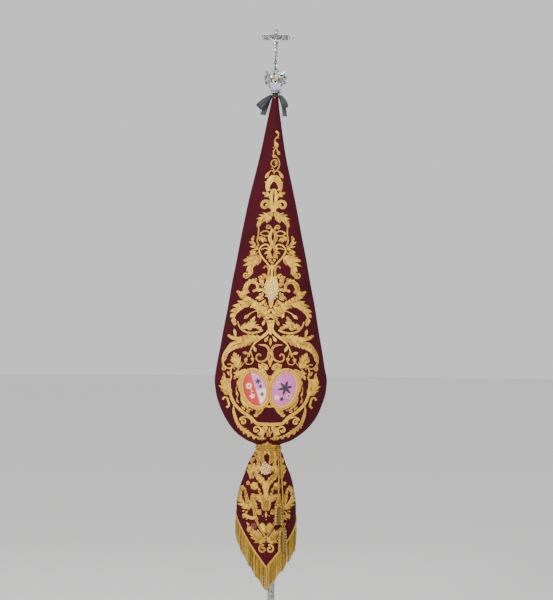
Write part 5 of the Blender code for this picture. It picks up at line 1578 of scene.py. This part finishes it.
abacus_piece = abacus.piece("horned_plate", SILVER)
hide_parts("finial_abacus")


BAND_SECTION = (              # across and out, as shares of the band's half width and thickness
    (-1, -0.5), (-0.7, -0.8), (0.7, -0.8), (1, -0.5), (1, 0.5), (0.7, 0.8), (-0.7, 0.8), (-1, 0.5),
)


def scroll_band(bundle, line, corner, half_width, thickness):
    """A flat band bent along a line of reach and height, in the plane of one corner."""
    ahead = np.gradient(line, axis=0)
    ahead /= np.linalg.norm(ahead, axis=1)[:, None]
    turn = math.radians(-45 + 90 * corner)
    rows = []
    for (reach, height), (da, db), thick in zip(line, ahead, thickness):
        ring = []
        for side, out in BAND_SECTION:
            r, z = reach - db * out * thick, height + da * out * thick
            ring.append((*turned_plan(r, side * half_width, turn), z))
        rows.append(ring)
    bundle.tube(np.array(rows), walk(line))


VOLUTES = (                   # eye's reach and height, outer radius, start and turn in degrees
    (0.0548, 2.4890, 0.0064, 115, -560), (0.0520, 2.4725, 0.0058, 60, -560),
)
COIL_STEPS, STEM_STEPS = 60, 14
COIL_CLOSING = 0.78           # how much of its radius a scroll loses on its way in
BAND_HALF_WIDTH = 0.0036
BAND_THICKNESS = (0.0018, 0.0011)
for corner in range(4):
    scrolls = Bundle()
    for reach, height, size, start, turn in VOLUTES:
        shares = np.linspace(0, 1, COIL_STEPS)
        angles = np.radians(start + turn * shares)
        radii = size * (1 - COIL_CLOSING * shares)
        spiral = np.stack([reach + radii * np.cos(angles), height + radii * np.sin(angles)], axis=1)
        stem_start = np.array((0.034, height - 0.004 if size > 0.006 else 2.4700))
        stem = np.linspace(0, 1, STEM_STEPS, endpoint=False)[:, None]
        join = stem_start + (spiral[0] - stem_start) * stem + np.array((0, 0.004)) * np.sin(stem * math.pi)
        line = np.vstack([join, spiral])
        scroll_band(scrolls, line, corner, BAND_HALF_WIDTH, np.linspace(*BAND_THICKNESS, len(line)))
    scroll_piece = scrolls.piece("corner_scroll_%d" % (corner + 1), SILVER)
    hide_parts("finial_volute_%d" % (corner + 1))


# Cross: cast in silver, with a raised border and a trailing scroll on its arms, dull sleeves and
# bright turned ends, and a small cast figure fixed to its front.
CROSS_FOOT, CROSS_TOP = 2.5190, 2.6670
SHAFT_HALF_WIDTH, CROSS_HALF_DEPTH = 0.0065, 0.0045
ARM_HALF_LENGTH, ARM_HALF_HEIGHT, ARM_HEIGHT = 0.0470, 0.0105, 2.6520
SLEEVE_LENGTH = 0.0095

# The body is much darker than the bright relief, borders and ends on it: painted shade on its ground.
solid_node("cross_body", SHADED_GROUND_SILVER)
for word in ("left", "right"):
    solid_node("cross_sleeve_" + word, CHASED_SILVER)
for side, word in ((-1, "left"), (1, "right")):
    far = side * (ARM_HALF_LENGTH + SLEEVE_LENGTH + 2 * SEAT_GAP)
    turned_piece("turned_end_" + word, (
        (0.0001, 0.0162), (0.0010, 0.0150), (0.0026, 0.0118), (0.0050, 0.0088), (0.0056, 0.0066),
        (0.0046, 0.0038), (0.0026, 0.0018), (0.0040, 0.0002), (0.0001, 0.0),
    ), 40, SILVER, "cross_end_" + word, (far, 0, ARM_HEIGHT), 0.0004,
        Matrix.Rotation(side * math.pi / 2, 3, "Y"))
turned_piece("top_knop", (
    (0.0001, 0.0325), (0.0010, 0.0300), (0.0026, 0.0265), (0.0054, 0.0215), (0.0050, 0.0185),
    (0.0030, 0.0160), (0.0092, 0.0145), (0.0096, 0.0125), (0.0075, 0.0060), (0.0062, 0.0002),
    (0.0001, 0.0),
), 40, SILVER, "cross_top_knop", (0, 0, CROSS_TOP + SEAT_GAP), 0.0004)
base_low, base_high = ABACUS_TOP + SEAT_GAP, CROSS_FOOT - SEAT_GAP
turned_piece("cross_foot", (
    (0.0001, base_high), (0.0092, base_high), (0.0110, base_high - 0.0010), (0.0130, base_low + 0.0055),
    (0.0112, base_low + 0.0035), (0.0140, base_low + 0.0018), (0.0168, base_low + 0.0002), (0.0001, base_low),
), 48, SILVER, "cross_base", (0, 0, 0), 0.0004)

relief_work = Bundle()
foot_scrolls = Bundle()
for front in (-1, 1):
    y = front * (CROSS_HALF_DEPTH + 0.0002)
    w, h, a, inset = SHAFT_HALF_WIDTH, ARM_HALF_HEIGHT, ARM_HALF_LENGTH, 0.0012
    for hand in (-1, 1):
        for low, high in ((CROSS_FOOT + 0.002, ARM_HEIGHT - h), (ARM_HEIGHT + h, CROSS_TOP - 0.001)):
            line = np.array([(hand * (w - inset), y, z) for z in np.linspace(low, high, 40)])
            twisted_wire(relief_work, line, 0.0009, 0.003, 8, 0.3)
        for z in (ARM_HEIGHT - h + inset, ARM_HEIGHT + h - inset):
            line = np.array([(hand * x, y, z) for x in np.linspace(w, a - 0.001, 36)])
            twisted_wire(relief_work, line, 0.0010, 0.003, 8, 0.3)
        for start, size in ((0.016, 0.0050), (0.030, 0.0050), (0.041, 0.0036)):
            shares = np.linspace(0, 1, 40)
            angles = shares * 2 * math.pi * 1.5 + (0 if start != 0.030 else math.pi)
            radii = size * (1 - 0.7 * shares)
            line = np.stack([hand * (start + radii * np.cos(angles)), np.full(40, y),
                             ARM_HEIGHT + radii * np.sin(angles) * 1.2], axis=1)
            twisted_wire(relief_work, line, 0.0010, 0.004, 8, 0.2)
    for z in np.arange(CROSS_FOOT + 0.010, ARM_HEIGHT - h - 0.004, 0.012):
        loop = np.linspace(0, 2 * math.pi, 24)[:-1]
        line = np.array([(0.0026 * math.sin(t), y, z + 0.0050 * math.cos(t)) for t in loop])
        twisted_wire(relief_work, line, 0.0008, 0.003, 6, 0.2)
for hand in (-1, 1):
    shares = np.linspace(0, 1, 44)
    angles = math.radians(-80) + shares * math.radians(500)
    radii = 0.0046 * (1 - 0.75 * shares)
    line = np.stack([hand * (0.0125 + radii * np.cos(angles)), np.full(44, -0.004),
                     2.5175 + radii * np.sin(angles)], axis=1)
    twisted_wire(foot_scrolls, line, 0.0012, 0.004, 8, 0.15)
relief_piece = relief_work.piece("cross_relief", SILVER)
foot_piece = foot_scrolls.piece("foot_scrolls", SILVER)

FIGURE_SINK = 0.5
FIGURE_JOINTS = (             # name, x, depth, z, radius in millimetres, and the joint it grows from
    ("hips", 0, 6.7, -49, 6.4, None), ("waist", 0, 6.0, -36, 5.0, "hips"),
    ("chest", 0, 7.2, -23, 6.8, "waist"), ("neck", 0.6, 5.6, -12.5, 3.2, "chest"),
    ("head", 1.4, 6.6, -7.0, 3.6, "neck"), ("shoulder_left", -9, 5.0, -15, 3.2, "chest"),
    ("elbow_left", -22, 3.4, -6, 2.3, "shoulder_left"), ("wrist_left", -34, 2.8, 0.5, 1.5, "elbow_left"),
    ("hand_left", -38, 2.6, 2.5, 2.0, "wrist_left"), ("shoulder_right", 9, 5.0, -15, 3.2, "chest"),
    ("elbow_right", 22, 3.4, -6, 2.3, "shoulder_right"), ("wrist_right", 34, 2.8, 0.5, 1.5, "elbow_right"),
    ("hand_right", 38, 2.6, 2.5, 2.0, "wrist_right"), ("knees", 0.8, 6.2, -64, 4.4, "hips"),
    ("shins", 0.4, 4.8, -73, 3.2, "knees"), ("feet", 0, 4.2, -79, 3.0, "shins"),
)
figure_mesh = bpy.data.meshes.new("cast_figure")
joint_names = [row[0] for row in FIGURE_JOINTS]
figure_face = -CROSS_HALF_DEPTH / MM + FIGURE_SINK
figure_mesh.from_pydata(
    [(x * MM, (figure_face - depth) * MM, ARM_HEIGHT + z * MM) for _, x, depth, z, _, _ in FIGURE_JOINTS],
    [(joint_names.index(row[5]), joint_names.index(row[0])) for row in FIGURE_JOINTS if row[5]], [],
)
body = put("cast_figure", figure_mesh, SILVER)
body.modifiers.new("skin", "SKIN")
for spot, row in zip(figure_mesh.skin_vertices[0].data, FIGURE_JOINTS):
    spot.radius = (row[4] * MM, row[4] * MM)
figure_mesh.skin_vertices[0].data[0].use_root = True
body.modifiers.new("soft", "SUBSURF").render_levels = 2
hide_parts("cross_figure")


# Figure's head, its cloth and its hair, worked as small chased forms over the casting.
HEAD_CENTRE = np.array((1.4, figure_face - 6.9, ARM_HEIGHT / MM - 5.4))
HEAD_SIZE = np.array((3.5, 4.0, 4.9))
HEAD_SIDES, HEAD_ROWS = 48, 32
around, down = np.meshgrid(np.linspace(0, 2 * math.pi, HEAD_SIDES, endpoint=False),
                           np.linspace(0.04, math.pi - 0.04, HEAD_ROWS))
nx, ny, nz = np.sin(down) * np.sin(around), -np.sin(down) * np.cos(around), np.cos(down)
front = np.clip(-ny, 0, 1)
nose = 0.16 * np.exp(-(nx / 0.13) ** 2 - ((nz + 0.05) / 0.24) ** 2) * front
brow = 0.05 * np.exp(-(nx / 0.5) ** 2 - ((nz - 0.26) / 0.08) ** 2) * front
sockets = -0.07 * (np.exp(-((nx - 0.30) / 0.15) ** 2) + np.exp(-((nx + 0.30) / 0.15) ** 2))
sockets = sockets * np.exp(-((nz - 0.10) / 0.12) ** 2) * front
mouth = -0.035 * np.exp(-(nx / 0.22) ** 2 - ((nz + 0.42) / 0.05) ** 2) * front
beard = 0.09 * np.clip(-nz - 0.35, 0, 1) * (0.7 + 0.3 * np.cos(around * 22)) * (front > 0.1)
bare = smooth_step((front * (1 - np.clip(nz, 0, 1) * 0.9) - 0.30) / 0.2)
hair = 0.13 * (1 - bare) * (0.8 + 0.2 * np.cos(around * 16 + nz * 6))
size = 1 + nose + brow + sockets + mouth + beard + hair
head_grid = (np.stack([nx * size, ny * size, nz * size], -1) * HEAD_SIZE + HEAD_CENTRE) * MM
head_work = Bundle()
head_work.tube(head_grid, np.linspace(0, 0.01, HEAD_ROWS))
cloth_turns = np.linspace(0, 2 * math.pi, 60, endpoint=False)
cloth_rings = []
for share in np.linspace(0, 1, 20):
    folds = 1 + 0.09 * np.sin(cloth_turns * 7 + share * 5)
    x = np.sin(cloth_turns) * (6.0 + 1.2 * math.sin(share * math.pi)) * folds
    y = figure_face - 6.6 - np.cos(cloth_turns) * (5.6 + 0.8 * share) * folds
    z = ARM_HEIGHT / MM - 44 - 15 * share + 1.5 * np.sin(cloth_turns + share)
    cloth_rings.append(np.stack([x, y, z], axis=1) * MM)
cloth_rings = [cloth_rings[0] * 0.02 + cloth_rings[0].mean(axis=0) * 0.98] + cloth_rings
cloth_rings.append(cloth_rings[-1] * 0.02 + cloth_rings[-1].mean(axis=0) * 0.98)
CROSS_FACE = -CROSS_HALF_DEPTH - 0.0002
cloth_grid = np.array(cloth_rings)
cloth_grid[:, :, 1] = np.minimum(cloth_grid[:, :, 1], CROSS_FACE)
head_work.tube(cloth_grid, np.linspace(0, 0.02, len(cloth_rings)))
head_piece = head_work.piece("figure_head_and_cloth", SILVER)


# Studio: a plain pale floor under a pale even sky, with a large soft light on each side of the
# camera and one above, as for a museum's record photograph.
FLOOR_RADIUS = 30.0
FLOOR_SIDES = 96

floor_paint, floor_tree, floor_shader = new_material("matt_floor_paint", {
    "Roughness": 0.9, "Specular IOR Level": 0.1,
})
floor_noise = add(floor_tree, "TexNoise", {"Scale": 3.0, "Detail": 3.0})
floor_tone = add(floor_tree, "Mix", {"data_type": "RGBA", 6: linear("#ecebe8"), 7: linear("#f1f0ed")},
                 {0: floor_noise.outputs["Fac"]})
floor_tree.links.new(floor_tone.outputs[2], floor_shader.inputs["Base Color"])
floor_mesh = bpy.data.meshes.new("studio_floor")
floor_turns = [2 * math.pi * i / FLOOR_SIDES for i in range(FLOOR_SIDES)]
floor_rim = [(FLOOR_RADIUS * math.cos(t), FLOOR_RADIUS * math.sin(t), 0.0) for t in floor_turns]
floor_mesh.from_pydata(floor_rim, [], [list(range(FLOOR_SIDES))])
floor_mesh.materials.append(floor_paint)
floor = bpy.data.objects.new("studio_floor", floor_mesh)
bpy.context.scene.collection.objects.link(floor)

LIGHTS = (                    # name, place, width and height in metres, power in watts
    ("key", (-2.6, -4.6, 3.4), (1.4, 1.8), 290),
    ("fill", (3.2, -4.2, 2.0), (1.6, 2.6), 45),
    ("top", (0.3, -0.6, 4.6), (1.6, 1.6), 60),
)
LIGHT_TARGET = Vector((0, 0, 1.5))
for name, spot, size, power in LIGHTS:
    lamp_data = bpy.data.lights.new(name, "AREA")
    lamp_data.shape = "RECTANGLE"
    lamp_data.size, lamp_data.size_y = size
    lamp_data.energy = power
    lamp = bpy.data.objects.new(name, lamp_data)
    lamp.location = spot
    lamp.rotation_euler = (LIGHT_TARGET - Vector(spot)).to_track_quat("-Z", "Y").to_euler()
    bpy.context.scene.collection.objects.link(lamp)

world = bpy.data.worlds.new("pale_room")
world.use_nodes = True
world.node_tree.nodes["Background"].inputs["Color"].default_value = linear("#ececee")
world.node_tree.nodes["Background"].inputs["Strength"].default_value = 1.0
bpy.context.scene.world = world
